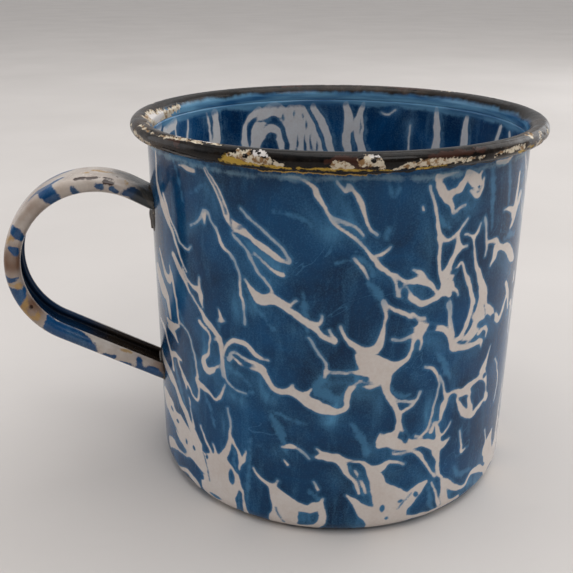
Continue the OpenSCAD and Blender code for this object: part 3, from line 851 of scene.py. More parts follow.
VEILS = [
    [(-129, 64.3, 0.2), (-126, 62.3, 0.8), (-122.5, 60.6, 1.0), (-119.5, 59, 0.6)],
    [(-128, 54.2, 0.1), (-125.8, 50.8, 0.25), (-123.4, 49, 0.3), (-120.6, 46.5, 0.1)],
    [(-127.9, 21, 0.1), (-128.6, 15, 0.35), (-128.9, 10, 0.45), (-129.6, 5, 0.3), (-130, 1, 0.2)],
    [(-134.6, 21, 0.1), (-133.6, 16, 0.3), (-132.8, 11, 0.35), (-132.2, 6, 0.3), (-132.4, 2, 0.2)],
    [(-136.5, 38, 0.2), (-136, 34.5, 0.5), (-134.5, 32.5, 0.3), (-131, 31.3, 0.15), (-127, 32, 0.05)],
    [(-134.8, 36.6, 0.1), (-133, 35.4, 0.15), (-130, 34.8, 0.12), (-128, 33.5, 0.05)],
    [(-137.6, 45.5, 0.1), (-137, 40, 0.4), (-136.2, 36, 0.5)],
    [(-107.5, 37, 0.8), (-108.5, 34.8, 1.1), (-106.5, 33.6, 1.3), (-104, 32.6, 0.9)],
    [(-96, 57, 0.5), (-93.4, 54.5, 0.8), (-90.8, 51, 0.4)],
    [(-122, 28.5, 0.2), (-119, 24.5, 0.9), (-117, 20, 0.5)],
    [(-99, 27, 0.3), (-96.5, 24, 0.9), (-94.5, 20, 0.7)],
    [(-110.4, 10.8, 0.3), (-107.4, 8.8, 0.8)],
    [(-105, 60.6, 0.1), (-99, 61.4, 0.5), (-95, 58.8, 0.6)],
    [(-60.4, 76, 0.6), (-59.4, 70, 0.6), (-58.6, 64, 0.2)],
    [(-53, 76.4, 0.8), (-51, 72, 0.5), (-50.4, 66, 0.2)],
    [(-155, 77, 0.6), (-146, 76.6, 0.7), (-138, 76.3, 0.4)],
    [(-153.6, 76, 0.3), (-151.6, 72, 0.25), (-150.4, 69, 0.1)],
    [(-157, 45, 0.3), (-153, 41.6, 0.5), (-149.6, 38.6, 0.4), (-147.8, 34, 0.4)],
    [(-146.4, 70.4, 0.1), (-144, 71.4, 0.25), (-141.6, 72.6, 0.1)],
    [(-144.6, 28, 0.2), (-142, 24.6, 0.35), (-140.6, 20.6, 0.2)],
    [(-160.4, 31, 0.5), (-158, 26, 0.7), (-154.6, 21, 0.6)],
    [(-91.6, 67, 0.4), (-92.2, 65.4, 0.5)],
    [(-75.6, 40.6, 0.3), (-72.4, 37.4, 0.8), (-70, 34, 0.5)],
    [(-89.4, 35, 0.4), (-87.2, 33, 0.7), (-83.4, 32.2, 0.4)],
    [(-79.6, 70.4, 0.2), (-77.4, 67.4, 0.6), (-74.4, 66.2, 0.4)],
    [(-120, 70, 0.05), (-115.4, 69.4, 0.15), (-112, 68.6, 0.25), (-111, 67.8, 0.1)],
    [(-99.4, 17, 0.2), (-97.4, 12.4, 0.7), (-95, 10.4, 0.5)],
    [(-65.4, 12, 0.2), (-62.6, 8.6, 0.8), (-57.4, 8.6, 0.4)],
    [(-113, 55, 0.1), (-112.4, 51, 0.7), (-111, 47, 0.3)],
    [(-74.4, 8.8, 0.3), (-73.8, 5, 0.8), (-72.8, 2.4, 0.4)],
    [(-50.6, 60.6, 0.4), (-47, 60.8, 0.8), (-43.6, 60, 0.6)],
    [(-119.6, 28, 0.1), (-115.6, 27.4, 0.2), (-111.4, 26.6, 0.08)],
    [(-92.4, 75.4, 0.08), (-90.8, 72.6, 0.15), (-89.6, 74.6, 0.06)],
]
print(len(SPLITS), "splits and", len(VEILS), "veils")

# %% [markdown]
# ### The rest of the wall
# The back follows the same habit of hand. The front's threads are laid again
# in mirror image on the far side, with their heights bent by a slow wave, and
# once more on the right flank, turned on by a hundred degrees.

# %% Lay the threads again round the back
def laid_again(threads, turned, lifted, low, high):
    """Copies threads whose middle falls between two turns."""
    copies = []
    for knots in threads:
        copy = [(turned(t), lifted(t, z), w) for t, z, w in knots]
        if low < np.mean([t for t, z, w in copy]) < high:
            copies.append(copy)
    return copies


def gaps_again(gaps, turned, lifted, low, high):
    """The same for the blue islands."""
    moved = [(turned(t), lifted(t, z), wide, tall) for t, z, wide, tall in gaps]
    return [gap for gap in moved if low < gap[0] < high]


MIRROR = (lambda t: -t, lambda t, z: z + 2.2 * math.sin(math.radians(t * 7)) * math.sin(math.pi * z / 77))
FLANK = (lambda t: t + 100, lambda t, z: z - 2.5 * math.sin(math.radians(t * 6)) * math.sin(math.pi * z / 77))
ALL_THREADS = FRONT + laid_again(FRONT, *MIRROR, 41, 186) + laid_again(FRONT, *FLANK, -42, 41)
ALL_GAPS = FRONT_GAPS + gaps_again(FRONT_GAPS, *MIRROR, 41, 186) + gaps_again(FRONT_GAPS, *FLANK, -42, 41)
ALL_SPLITS = SPLITS + laid_again(SPLITS, *MIRROR, 41, 186) + laid_again(SPLITS, *FLANK, -42, 41)
ALL_VEILS = VEILS + laid_again(VEILS, *MIRROR, 41, 186) + laid_again(VEILS, *FLANK, -42, 41)
print(len(ALL_THREADS), "threads all round")

# %% Threads inside the cup
LINING = [
    [(22, 76, 0.8), (22.5, 70, 1.2), (21.5, 64, 1.2), (20, 58, 0.5)],
    [(36, 76.5, 0.7), (34.5, 70, 1.1), (35.5, 64, 1.1), (36, 58, 0.6)],
    [(46, 72, 0.1), (46.5, 67, 0.25), (46, 63, 0.4)],
    [(52, 76, 0.15), (55, 74.5, 0.25), (58, 75, 0.1)],
    [(65, 76.6, 0.6), (66.5, 73, 1.1), (66, 68, 1.2), (64.5, 64, 1.1), (64, 58, 0.9)],
    [(74, 59, 0.6), (76.4, 64, 0.9), (79, 69, 1.0), (81.4, 73, 1.0), (84, 76, 0.8)],
    [(71.5, 76.8, 0.7), (70.5, 72, 1.3), (71, 67, 1.2), (69.5, 62, 0.8), (69, 56, 0.7)],
    [(66.5, 72, 0.6), (70.5, 69, 0.4)],
    [(80.5, 62, 1.1), (83, 67, 1.3), (85.5, 71.5, 1.2), (88.5, 75.5, 1.2)],
    [(84, 61, 0.5), (86, 66, 1.0), (88, 71, 1.2), (90, 75.5, 1.2)],
    [(88, 60, 1.0), (89, 66, 1.1), (90.8, 71, 1.0), (92.5, 75.5, 1.3)],
    [(92, 60, 0.9), (92.2, 66, 1.0), (94, 71.5, 1.2), (97, 75, 1.9), (101, 75.3, 1.9), (104.5, 73, 1.7),
     (107, 69, 1.4), (108, 63, 1.2), (108, 57, 0.9)],
    [(96, 62, 0.8), (97, 67, 0.9), (99.5, 70.4, 1.1), (102.5, 70, 1.0), (104.8, 66.8, 0.8), (105.5, 62, 0.6)],
    [(106, 75.8, 0.9), (110.5, 73, 0.6), (112, 68, 0.9), (110.5, 62, 1.1), (110, 57, 0.9)],
    [(125.5, 76.5, 1.0), (124.5, 71, 1.1), (126, 66, 1.3), (127, 60, 1.1)],
    [(129, 76.5, 0.3), (127.5, 71, 0.3), (128, 65, 0.3)],
    [(139.5, 76, 0.3), (140, 70, 0.4), (138.5, 64, 0.5)],
    [(147, 76.6, 0.9), (151, 75.5, 1.3), (156, 75, 1.1)],
    [(148, 76, 0.3), (147.5, 70, 0.3), (149, 64, 0.3)],
    [(3, 76, 0.5), (6, 70, 0.8), (4, 62, 0.8), (6, 54, 0.6)],
    [(160, 77, 1.2), (165, 75.5, 1.6), (170, 73, 1.0), (172, 68, 0.6)],
    [(176, 76, 0.8), (179, 70, 1.0), (178, 62, 0.9), (180, 54, 0.6)],
    [(96, 57, 0.7), (93, 50, 0.9), (90, 42, 0.8)],
]
LINING_GAPS = [
    (101.5, 64, 3.0, 4.4), (100.5, 68.6, 1.7, 1.0), (101.5, 73.0, 4.2, 0.35), (88, 73.4, 0.25, 1.0), (91.5, 74, 0.25, 1.0), (95.6, 73.4, 0.35, 1.1),
    (100, 73.2, 1.8, 0.3), (84.8, 66, 0.35, 2.4), (87.2, 65.6, 0.4, 2.6), (90.2, 66, 0.3, 2.2),
    (86.8, 71.2, 0.25, 1.0), (82.3, 65, 0.3, 1.6), (110, 70, 0.35, 2.0), (66, 70.5, 0.25, 1.6),
]
DRIPS_AGAIN = (lambda t: -t, lambda t, z: z - 1.5 * math.sin(math.radians(t * 5)))
LOWER_DRIPS = (lambda t: t * 1.7 - 30, lambda t, z: (z - 56) * 1.6 + 12)
ALL_LINING = (
    LINING
    + laid_again(LINING, *DRIPS_AGAIN, -179, -1)
    + laid_again(LINING, *LOWER_DRIPS, -40, 320)
)
print(len(ALL_LINING), "threads inside")

# %% [markdown]
# ## Effects that several finishes share
# Four node groups hold what more than one glass needs. "torn_edge" turns a
# distance in mm into a ragged mask with a thin fringe beside it. "cobalt"
# is the mottled blue glass with its paler streaks. "cream_glass" is the
# white, with a faint stain. "worn_surface" gives the tiny ripples of fired
# glass and its patchy gloss. Each material places them with its own values.

# %% Group helper
def new_group(name, inputs, outputs):
    """A shader group with named sockets; returns tree, given and result nodes."""
    group = bpy.data.node_groups.new(name, "ShaderNodeTree")
    for label, kind, value in inputs:
        socket = group.interface.new_socket(label, in_out="INPUT", socket_type=kind)
        if value is not None:
            socket.default_value = value
    for label, kind in outputs:
        group.interface.new_socket(label, in_out="OUTPUT", socket_type=kind)
    return group, add_node(group, "NodeGroupInput"), add_node(group, "NodeGroupOutput")


def place_group(tree, group, **values):
    """Puts a group in a material with its own values."""
    made = add_node(tree, "ShaderNodeGroup", node_tree=group)
    for label, value in values.items():
        wire(tree, value, made.inputs[label.replace("_", " ")])
    return made


FLOAT = "NodeSocketFloat"
COLOUR = "NodeSocketColor"

# %% torn_edge: distance in mm to a ragged mask and a fringe
torn_edge, given, result = new_group(
    "torn_edge",
    (("Field", FLOAT, 1.0), ("Raggedness", FLOAT, 0.15), ("Softness", FLOAT, 0.12), ("Fringe Width", FLOAT, 0.6)),
    (("Mask", FLOAT), ("Fringe", FLOAT)),
)
place = add_node(torn_edge, "ShaderNodeTexCoord").outputs["Object"]
coarse = calc(torn_edge, "SUBTRACT", grain_noise(torn_edge, place, 700.0, 2.0), 0.5)
tiny = calc(torn_edge, "SUBTRACT", grain_noise(torn_edge, place, 2600.0, 2.0), 0.5)
shake = calc(torn_edge, "ADD", calc(torn_edge, "MULTIPLY", coarse, 2.0), tiny)
edge = calc(torn_edge, "ADD", given.outputs["Field"], calc(torn_edge, "MULTIPLY", shake, given.outputs["Raggedness"]))
minus = calc(torn_edge, "MULTIPLY", given.outputs["Softness"], -1.0)
wire(torn_edge, fit_range(torn_edge, edge, minus, given.outputs["Softness"], 1.0, 0.0, True), result.inputs["Mask"])
wire(torn_edge, fit_range(torn_edge, edge, 0.0, given.outputs["Fringe Width"], 1.0, 0.0), result.inputs["Fringe"])
print("group torn_edge")

# %% cobalt: mottled blue glass
cobalt, given, result = new_group(
    "cobalt",
    (
        ("Deep", COLOUR, colour(14, 48, 82)),
        ("Middle", COLOUR, colour(26, 74, 116)),
        ("Pale", COLOUR, colour(92, 140, 172)),
        ("Streaks", FLOAT, 0.35),
        ("Smear", FLOAT, 0.0),
    ),
    (("Color", COLOUR), ("Pallor", FLOAT)),
)
place = add_node(cobalt, "ShaderNodeTexCoord").outputs["Object"]
clouds = fit_range(cobalt, grain_noise(cobalt, place, 55.0, 5.0, 0.62, 0.8), 0.32, 0.68)
drawn = stretched_place(cobalt, place, (1.0, 1.0, 0.22), (0.10, 0.25, 0))
streaks = fit_range(cobalt, grain_noise(cobalt, drawn, 260.0, 5.0, 0.6, 0.6), 0.50, 0.80, 0.0, 1.0)
specks = fit_range(cobalt, grain_noise(cobalt, place, 3200.0, 2.0, 0.7), 0.35, 0.70, -0.10, 0.12)
thin = grain_noise(cobalt, place, 42.0, 3.0, 0.55, 2.2)
crest = calc(cobalt, "ABSOLUTE", calc(cobalt, "SUBTRACT", thin, 0.5))
hair = fit_range(cobalt, crest, 0.0, 0.006, 0.35, 0.0)
where = fit_range(cobalt, grain_noise(cobalt, place, 34.0, 1.0), 0.50, 0.62)
hairs = calc(cobalt, "MULTIPLY", hair, where)
body = blend_colours(cobalt, clouds, given.outputs["Deep"], given.outputs["Middle"])
lift = calc(cobalt, "MULTIPLY", streaks, given.outputs["Streaks"])
smeared = calc(cobalt, "MULTIPLY", given.outputs["Smear"], fit_range(cobalt, streaks, 0.0, 0.8, 0.35, 1.0))
pallor = calc(cobalt, "MAXIMUM", calc(cobalt, "MAXIMUM", lift, hairs), smeared)
pallor = calc(cobalt, "ADD", pallor, specks, clamp=True)
wire(cobalt, blend_colours(cobalt, pallor, body, given.outputs["Pale"]), result.inputs["Color"])
wire(cobalt, pallor, result.inputs["Pallor"])
print("group cobalt")

# %% wiped_glass: thin blue with streaks that run round
wiped_glass, given, result = new_group(
    "wiped_glass",
    (("Deep", COLOUR, colour(40, 92, 138)), ("Pale", COLOUR, colour(110, 162, 196))),
    (("Color", COLOUR),),
)
place = add_node(wiped_glass, "ShaderNodeTexCoord").outputs["Object"]
drawn = stretched_place(wiped_glass, place, (0.14, 0.14, 1.5))
streaks = fit_range(wiped_glass, grain_noise(wiped_glass, drawn, 420.0, 3.0), 0.34, 0.62)
wire(
    wiped_glass,
    blend_colours(wiped_glass, streaks, given.outputs["Deep"], given.outputs["Pale"]),
    result.inputs["Color"],
)
print("group wiped_glass")

# %% cream_glass: off-white glass with a stain
cream_glass, given, result = new_group(
    "cream_glass",
    (
        ("Cream", COLOUR, colour(212, 203, 196)),
        ("Stain", COLOUR, colour(168, 132, 104)),
        ("Stain Amount", FLOAT, 0.1),
    ),
    (("Color", COLOUR),),
)
place = add_node(cream_glass, "ShaderNodeTexCoord").outputs["Object"]
broad = fit_range(cream_glass, grain_noise(cream_glass, place, 160.0, 4.0, 0.6), 0.35, 0.70)
fine = fit_range(cream_glass, grain_noise(cream_glass, place, 1500.0, 3.0, 0.65), 0.30, 0.75, -0.06, 0.10)
amount = calc(cream_glass, "MULTIPLY", broad, given.outputs["Stain Amount"])
amount = calc(cream_glass, "ADD", amount, fine, clamp=True)
wire(
    cream_glass,
    blend_colours(cream_glass, amount, given.outputs["Cream"], given.outputs["Stain"]),
    result.inputs["Color"],
)
print("group cream_glass")

# %% worn_surface: ripples and patchy gloss
worn_surface, given, result = new_group(
    "worn_surface",
    (("Polished", FLOAT, 0.10), ("Dull", FLOAT, 0.28), ("Scratches", FLOAT, 0.2)),
    (("Height", FLOAT), ("Roughness", FLOAT)),
)
place = add_node(worn_surface, "ShaderNodeTexCoord").outputs["Object"]
ripple = grain_noise(worn_surface, place, 420.0, 2.0, 0.45)
pits = fit_range(worn_surface, grain_noise(worn_surface, place, 2100.0, 2.0), 0.66, 0.74, 0.0, -0.5)
wire(worn_surface, calc(worn_surface, "ADD", ripple, pits), result.inputs["Height"])
slant = stretched_place(worn_surface, place, (1, 1, 0.08), (0.5, 0.3, 0.2))
scratch = fit_range(worn_surface, grain_noise(worn_surface, slant, 1900.0, 2.0), 0.62, 0.72)
scratch = calc(worn_surface, "MULTIPLY", scratch, given.outputs["Scratches"])
patches = fit_range(worn_surface, grain_noise(worn_surface, place, 120.0, 4.0), 0.35, 0.70)
gloss = fit_range(worn_surface, patches, 0.0, 1.0, given.outputs["Polished"], given.outputs["Dull"])
wire(worn_surface, calc(worn_surface, "ADD", gloss, scratch, clamp=True), result.inputs["Roughness"])
print("group worn_surface")


# %% Start a material
def new_finish(name):
    """A material; returns it with its tree and its Principled shader."""
    made = bpy.data.materials.new(name)
    made.use_nodes = True
    return made, made.node_tree, made.node_tree.nodes["Principled BSDF"]


def read_value(tree, label):
    """Reads a number that was stored on the piece."""
    made = add_node(tree, "ShaderNodeAttribute", attribute_name=label)
    return made.outputs["Fac"]


def ripple_surface(tree, surface, wear, strength, depth=0.00008):
    """Bump and roughness from worn_surface."""
    bump = add_node(tree, "ShaderNodeBump")
    bump.inputs["Strength"].default_value = strength
    bump.inputs["Distance"].default_value = depth
    wire(tree, wear.outputs["Height"], bump.inputs["Height"])
    wire(tree, bump.outputs["Normal"], surface.inputs["Normal"])
    wire(tree, wear.outputs["Roughness"], surface.inputs["Roughness"])


# %% [markdown]
# ## The swirled glass
# Outside and inside wear the same two glasses, so one function builds both
# finishes: cobalt first, then the white where the painted field is below
# zero, with a pale blue fringe where the white runs thin. The outer one also
# turns black under the rim, over a thin ochre line, and wears at the foot.

# %% Swirled finishes
def swirled_finish(name, deep, middle, pale, cream):
    """Blue glass with white threads read from the piece's own field."""
    made, tree, surface = new_finish(name)
    vein = place_group(tree, torn_edge, Field=read_value(tree, "vein"), Raggedness=0.13, Softness=0.15)
    veil = place_group(tree, torn_edge, Field=read_value(tree, "veil"), Raggedness=0.8, Softness=0.55)
    blue = place_group(tree, cobalt, Deep=deep, Middle=middle, Pale=pale, Smear=read_value(tree, "smear"))
    white = place_group(tree, cream_glass, Cream=cream, Stain_Amount=0.16)
    halo = calc(tree, "MULTIPLY", vein.outputs["Fringe"], 0.42)
    haze = calc(tree, "MULTIPLY", veil.outputs["Mask"], 0.48)
    glass = blend_colours(tree, calc(tree, "MAXIMUM", halo, haze), blue.outputs["Color"], pale)
    thread = blend_colours(tree, read_value(tree, "cover"), colour(126, 170, 198), white.outputs["Color"])
    hold = fit_range(tree, read_value(tree, "cover"), 0.2, 1.0, 0.6, 1.0)
    split = place_group(tree, torn_edge, Field=read_value(tree, "split"), Raggedness=0.3, Softness=0.22)
    whole = fit_range(tree, split.outputs["Mask"], 0.0, 1.0, 1.0, 0.1)
    cover = calc(tree, "MULTIPLY", calc(tree, "MULTIPLY", vein.outputs["Mask"], hold), whole)
    glass = blend_colours(tree, cover, glass, thread)
    wear = place_group(tree, worn_surface, Polished=0.10, Dull=0.20, Scratches=0.12)
    ripple_surface(tree, surface, wear, 0.35)
    surface.inputs["IOR"].default_value = 1.5
    surface.inputs["Specular IOR Level"].default_value = 0.20
    return made, tree, surface, glass


outer_swirl, tree, surface, glass = swirled_finish(
    "outer_swirl", colour(4, 41, 73), colour(9, 74, 120), colour(84, 146, 188), colour(221, 213, 207)
)
black_part = place_group(tree, torn_edge, Field=read_value(tree, "black_edge"), Raggedness=0.3, Softness=0.08)
ochre_part = place_group(tree, torn_edge, Field=read_value(tree, "ochre_edge"), Raggedness=0.5, Softness=0.12)
wisp_part = place_group(tree, torn_edge, Field=read_value(tree, "wisp"), Raggedness=0.7, Softness=0.5)
foot_part = place_group(tree, torn_edge, Field=read_value(tree, "foot_wear"), Raggedness=0.9, Softness=0.2)
wisps = calc(tree, "MULTIPLY", wisp_part.outputs["Mask"], 0.55)
glass = blend_colours(tree, wisps, glass, colour(134, 170, 190))
glass = blend_colours(tree, ochre_part.outputs["Mask"], glass, colour(186, 150, 78))
glass = blend_colours(tree, black_part.outputs["Mask"], glass, colour(24, 20, 18))
glass = blend_colours(tree, foot_part.outputs["Mask"], glass, colour(84, 66, 54))
wire(tree, glass, surface.inputs["Base Color"])

inner_swirl, tree, surface, glass = swirled_finish(
    "inner_swirl", colour(4, 42, 80), colour(12, 76, 128), colour(112, 158, 190), colour(228, 228, 228)
)
band = place_group(tree, torn_edge, Field=read_value(tree, "lip_blue"), Raggedness=0.6, Softness=0.6)
wiped = place_group(tree, wiped_glass)
glass = blend_colours(tree, calc(tree, "MULTIPLY", band.outputs["Mask"], 0.8), glass, wiped.outputs["Color"])
wire(tree, glass, surface.inputs["Base Color"])
print("finishes outer_swirl and inner_swirl")

# %% [markdown]
# ## Black rim glass
# The rim was dipped in black last of all and has had a hard life. Four
# fields are painted on it: ochre and cream chips show the ground coats,
# rust is brown, and white is bare filler. Handled stretches at the two
# sides are abraded to a dull grey brown.

# %% Black rim finish
rim_black, tree, surface = new_finish("rim_black")
place = add_node(tree, "ShaderNodeTexCoord").outputs["Object"]
grime = fit_range(tree, grain_noise(tree, place, 380.0, 5.0, 0.65), 0.40, 0.66)
abraded = calc(tree, "MULTIPLY", read_value(tree, "abraded"), fit_range(tree, grime, 0.0, 1.0, 0.35, 1.0))
skin = blend_colours(tree, grime, colour(9, 8, 8), colour(30, 24, 20))
skin = blend_colours(tree, abraded, skin, colour(82, 68, 57))
lip = place_group(tree, torn_edge, Field=read_value(tree, "lip_blue"), Raggedness=0.25, Softness=0.6)
wiped = place_group(tree, wiped_glass)
skin = blend_colours(tree, lip.outputs["Mask"], skin, wiped.outputs["Color"])
rust = place_group(tree, torn_edge, Field=read_value(tree, "rust"), Raggedness=0.9, Softness=0.2)
skin = blend_colours(tree, rust.outputs["Mask"], skin, colour(60, 37, 29))
ochre = place_group(tree, torn_edge, Field=read_value(tree, "ochre"), Raggedness=0.8, Softness=0.25)
skin = blend_colours(tree, ochre.outputs["Mask"], skin, colour(190, 156, 66))
cream = place_group(tree, torn_edge, Field=read_value(tree, "cream"), Raggedness=1.2, Softness=0.1)
mottle = fit_range(tree, grain_noise(tree, place, 900.0, 3.0, 0.6), 0.48, 0.58)
cream_skin = blend_colours(tree, mottle, colour(212, 200, 178), colour(140, 108, 72))
skin = blend_colours(tree, cream.outputs["Mask"], skin, cream_skin)
white = place_group(tree, torn_edge, Field=read_value(tree, "white"), Raggedness=0.7, Softness=0.1)
skin = blend_colours(tree, white.outputs["Mask"], skin, colour(222, 216, 212))
wire(tree, skin, surface.inputs["Base Color"])
chipped = calc(tree, "MAXIMUM", cream.outputs["Mask"], ochre.outputs["Mask"])
dull = calc(tree, "MAXIMUM", abraded, calc(tree, "MULTIPLY", chipped, 0.7))
wear = place_group(tree, worn_surface, Polished=0.05, Dull=0.18, Scratches=0.2)
surface.inputs["Specular IOR Level"].default_value = 0.17
ripple_surface(tree, surface, wear, 0.6)
rough = calc(tree, "ADD", wear.outputs["Roughness"], calc(tree, "MULTIPLY", dull, 0.4), clamp=True)
wire(tree, rough, surface.inputs["Roughness"])
print("finish rim_black")

# %% [markdown]
# ## Handle glass, pooled glass and bare steel
# The handle is cream with blue patches that were never swirled, tea-brown
# where hands held it and nearly black in its groove. The pools at its ends
# are dark brown glass that ran down and set thick. Bare steel shows only
# through a chip, but every CAD piece that stays still gets a real finish.

# %% Handle, pool and steel finishes
handle_cream, tree, surface = new_finish("handle_cream")
blue = place_group(tree, cobalt, Deep=colour(4, 46, 86), Middle=colour(14, 80, 132), Streaks=0.4)
tea = read_value(tree, "tea")
cream = place_group(tree, cream_glass, Cream=colour(206, 197, 188), Stain=colour(150, 118, 92), Stain_Amount=0.3)
handled = blend_colours(tree, tea, cream.outputs["Color"], colour(112, 78, 54))
patch = place_group(tree, torn_edge, Field=read_value(tree, "patch"), Raggedness=0.55, Softness=0.22)
skin = blend_colours(tree, patch.outputs["Mask"], handled, blue.outputs["Color"])
spot = place_group(tree, torn_edge, Field=read_value(tree, "spot"), Raggedness=0.4, Softness=0.15)
skin = blend_colours(tree, spot.outputs["Mask"], skin, colour(52, 30, 22))
gold = place_group(tree, torn_edge, Field=read_value(tree, "gold"), Raggedness=1.0, Softness=0.35)
skin = blend_colours(tree, calc(tree, "MULTIPLY", gold.outputs["Mask"], 0.8), skin, colour(176, 138, 76))
# Painted shade: grey-green darkening over the upper leg and at the lower end, where the strap runs close to the wall.
joint_shade_mask = place_group(tree, torn_edge, Field=read_value(tree, "joint_shade"), Raggedness=1.2, Softness=2.0)
skin = blend_colours(tree, calc(tree, "MULTIPLY", joint_shade_mask.outputs["Mask"], 0.9), skin, colour(42, 42, 34))
inside = place_group(tree, torn_edge, Field=read_value(tree, "groove"), Raggedness=0.5, Softness=0.3)
groove_tone = blend_colours(tree, read_value(tree, "groove_brown"), colour(20, 48, 78), colour(52, 44, 38))
skin = blend_colours(tree, inside.outputs["Mask"], skin, groove_tone)
wire(tree, skin, surface.inputs["Base Color"])
wear = place_group(tree, worn_surface, Polished=0.12, Dull=0.30, Scratches=0.15)
ripple_surface(tree, surface, wear, 0.4)

pooled_brown, tree, surface = new_finish("pooled_brown")
place = add_node(tree, "ShaderNodeTexCoord").outputs["Object"]
burnt = fit_range(tree, grain_noise(tree, place, 420.0, 4.0, 0.6), 0.35, 0.65)
skin = blend_colours(tree, burnt, colour(16, 13, 12), colour(66, 50, 38))
crumbs = fit_range(tree, grain_noise(tree, place, 1100.0, 3.0, 0.6), 0.60, 0.66)
skin = blend_colours(tree, crumbs, skin, colour(150, 138, 118))
wire(tree, skin, surface.inputs["Base Color"])
surface.inputs["Specular IOR Level"].default_value = 0.2
wear = place_group(tree, worn_surface, Polished=0.35, Dull=0.60, Scratches=0.2)
ripple_surface(tree, surface, wear, 0.6)

bare_steel, tree, surface = new_finish("bare_steel")
place = add_node(tree, "ShaderNodeTexCoord").outputs["Object"]
drawn = stretched_place(tree, place, (1, 1, 0.1))
lines = fit_range(tree, grain_noise(tree, drawn, 1800.0, 4.0), 0.3, 0.7)
skin = blend_colours(tree, lines, colour(92, 90, 88), colour(136, 134, 130))
scale = fit_range(tree, grain_noise(tree, place, 240.0, 4.0, 0.6), 0.52, 0.64)
wire(tree, blend_colours(tree, scale, skin, colour(84, 58, 44)), surface.inputs["Base Color"])
surface.inputs["Metallic"].default_value = 0.9
wear = place_group(tree, worn_surface, Polished=0.32, Dull=0.55, Scratches=0.2)
ripple_surface(tree, surface, wear, 0.5)
for label in ("steel_cup", "handle_strap", "upper_weld", "lower_weld"):
    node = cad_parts[label]
    node.data.materials.clear()
    node.data.materials.append(bare_steel)
print("finishes handle_cream, pooled_brown and bare_steel")

# %% [markdown]
# ## The outer coat
# Turned first, then painted. On the wall a point is named by its turn and its
# height. Under the base the same threads are laid flat, as if the pattern
# were a cloth pulled under the foot.

# %% Turn and paint the outer coat
outer_coat = turned_piece("outer_coat", outer_outline, 450, (-184, 152, 0.70), 0.16, outer_swirl)
points, turns, away = mesh_points(outer_coat)
flat = (points[:, 2] < CORNER) & (away < wall_r - 1.6)
painted_turn = np.where(flat, -108 + points[:, 0] / 0.726, turns)
painted_level = np.where(flat, 38 + points[:, 1], np.maximum(points[:, 2], 0.4))
warm_turn, warm_level = wavered(painted_turn, painted_level, 0.38, 3.4, 3.0)
girths = np.zeros(len(points))
vein = paint(warm_turn, warm_level, ALL_THREADS, ALL_GAPS, web=0.75, girths=girths)
cut_quads(outer_coat, vein)
store(outer_coat, "vein", vein)
store(outer_coat, "split", paint(warm_turn, warm_level, ALL_SPLITS, web=0.1))
store(outer_coat, "cover", np.clip(0.28 + girths * 2.7, 0.28, 1))
store(outer_coat, "veil", paint(warm_turn, warm_level, ALL_VEILS, web=1.2))
SMEAR_SHIFT = (2.2, 2.0)
beside = paint(
    warm_turn + SMEAR_SHIFT[0], warm_level + SMEAR_SHIFT[1], [knots for knots in ALL_THREADS if len(knots) > 3]
)
drift = np.array([noise.noise(Vector(p) * 0.11) for p in points])
smear = np.exp(-np.maximum(beside, 0) / 1.7) * np.clip(0.35 + 1.3 * drift, 0, 1)
store(outer_coat, "smear", smear)
ragged = np.array([noise.noise(Vector((math.cos(a), math.sin(a), 0)) * 14) for a in np.radians(turns)])
slow = np.array([noise.noise(Vector((math.cos(a), math.sin(a), 3)) * 4) for a in np.radians(turns)])
black_level = 77.25 + 0.35 * ragged + 0.35 * slow
store(outer_coat, "black_edge", black_level - points[:, 2])
ochre_share = np.clip(1.0 - np.abs(turns + 111) / 17, -0.6, 0.4)
store(outer_coat, "ochre_edge", black_level - 0.55 * np.clip(ochre_share + 0.25 * ragged, -0.5, 1) - points[:, 2])
wisp = np.abs(points[:, 2] - 76.2 + 0.8 * slow) - 0.32 - 0.5 * ragged
store(outer_coat, "wisp", wisp)
foot = np.hypot(np.maximum(away - (wall_r - CORNER), 0) * 0.8, points[:, 2]) - 0.12 + 0.4 * ragged
store(outer_coat, "foot_wear", np.where(away > FOOT - 0.8, foot, 3.0))
print("outer coat painted")

# %% [markdown]
# ## The lining
# The same lathe and the same brush, with the drips that hang inside. A paler
# band runs round under the lip, where the blue glass was wiped thin.

# %% Turn and paint the lining
inner_coat = turned_piece("inner_coat", inner_outline, 450, (14, 150, 0.62), 0.12, inner_swirl)
points, turns, away = mesh_points(inner_coat)
flat = (points[:, 2] < CORNER) & (away < inside_r - 1.6)
painted_turn = np.where(flat, 70 + points[:, 0] / 0.726, turns)
painted_level = np.where(flat, 44 + points[:, 1], points[:, 2])
warm_turn, warm_level = wavered(painted_turn, painted_level, 0.5, 4.0, 8.0)
girths = np.zeros(len(points))
vein = paint(warm_turn, warm_level, ALL_LINING, LINING_GAPS, girths=girths)
cut_quads(inner_coat, vein)
store(inner_coat, "vein", vein)
store(inner_coat, "cover", np.clip(0.5 + girths * 1.6, 0.5, 1))
store(inner_coat, "split", np.full(len(points), 9.0))
store(inner_coat, "veil", paint(warm_turn + 2.5, warm_level, ALL_LINING, web=1.2) + 0.8)
drift = np.array([noise.noise(Vector(p) * 0.13) for p in points])
store(inner_coat, "smear", np.exp(-np.maximum(vein, 0) / 2.0) * np.clip(0.3 + 1.2 * drift, 0, 1))
ragged = np.array([noise.noise(Vector((math.cos(a), math.sin(a), 5)) * 7) for a in np.radians(turns)])
store(inner_coat, "lip_blue", np.abs(points[:, 2] - 78.6) - 2.4 - 1.1 * ragged)
print("lining painted")

# %% [markdown]
# ## The rim
# Chips are real dents here: wherever a chip is painted, the black glass is
# pushed in by up to 0.17 mm, which leaves it just above the steel. Places on
# the rim are named by turn and by mm round the bead from its top, outwards.

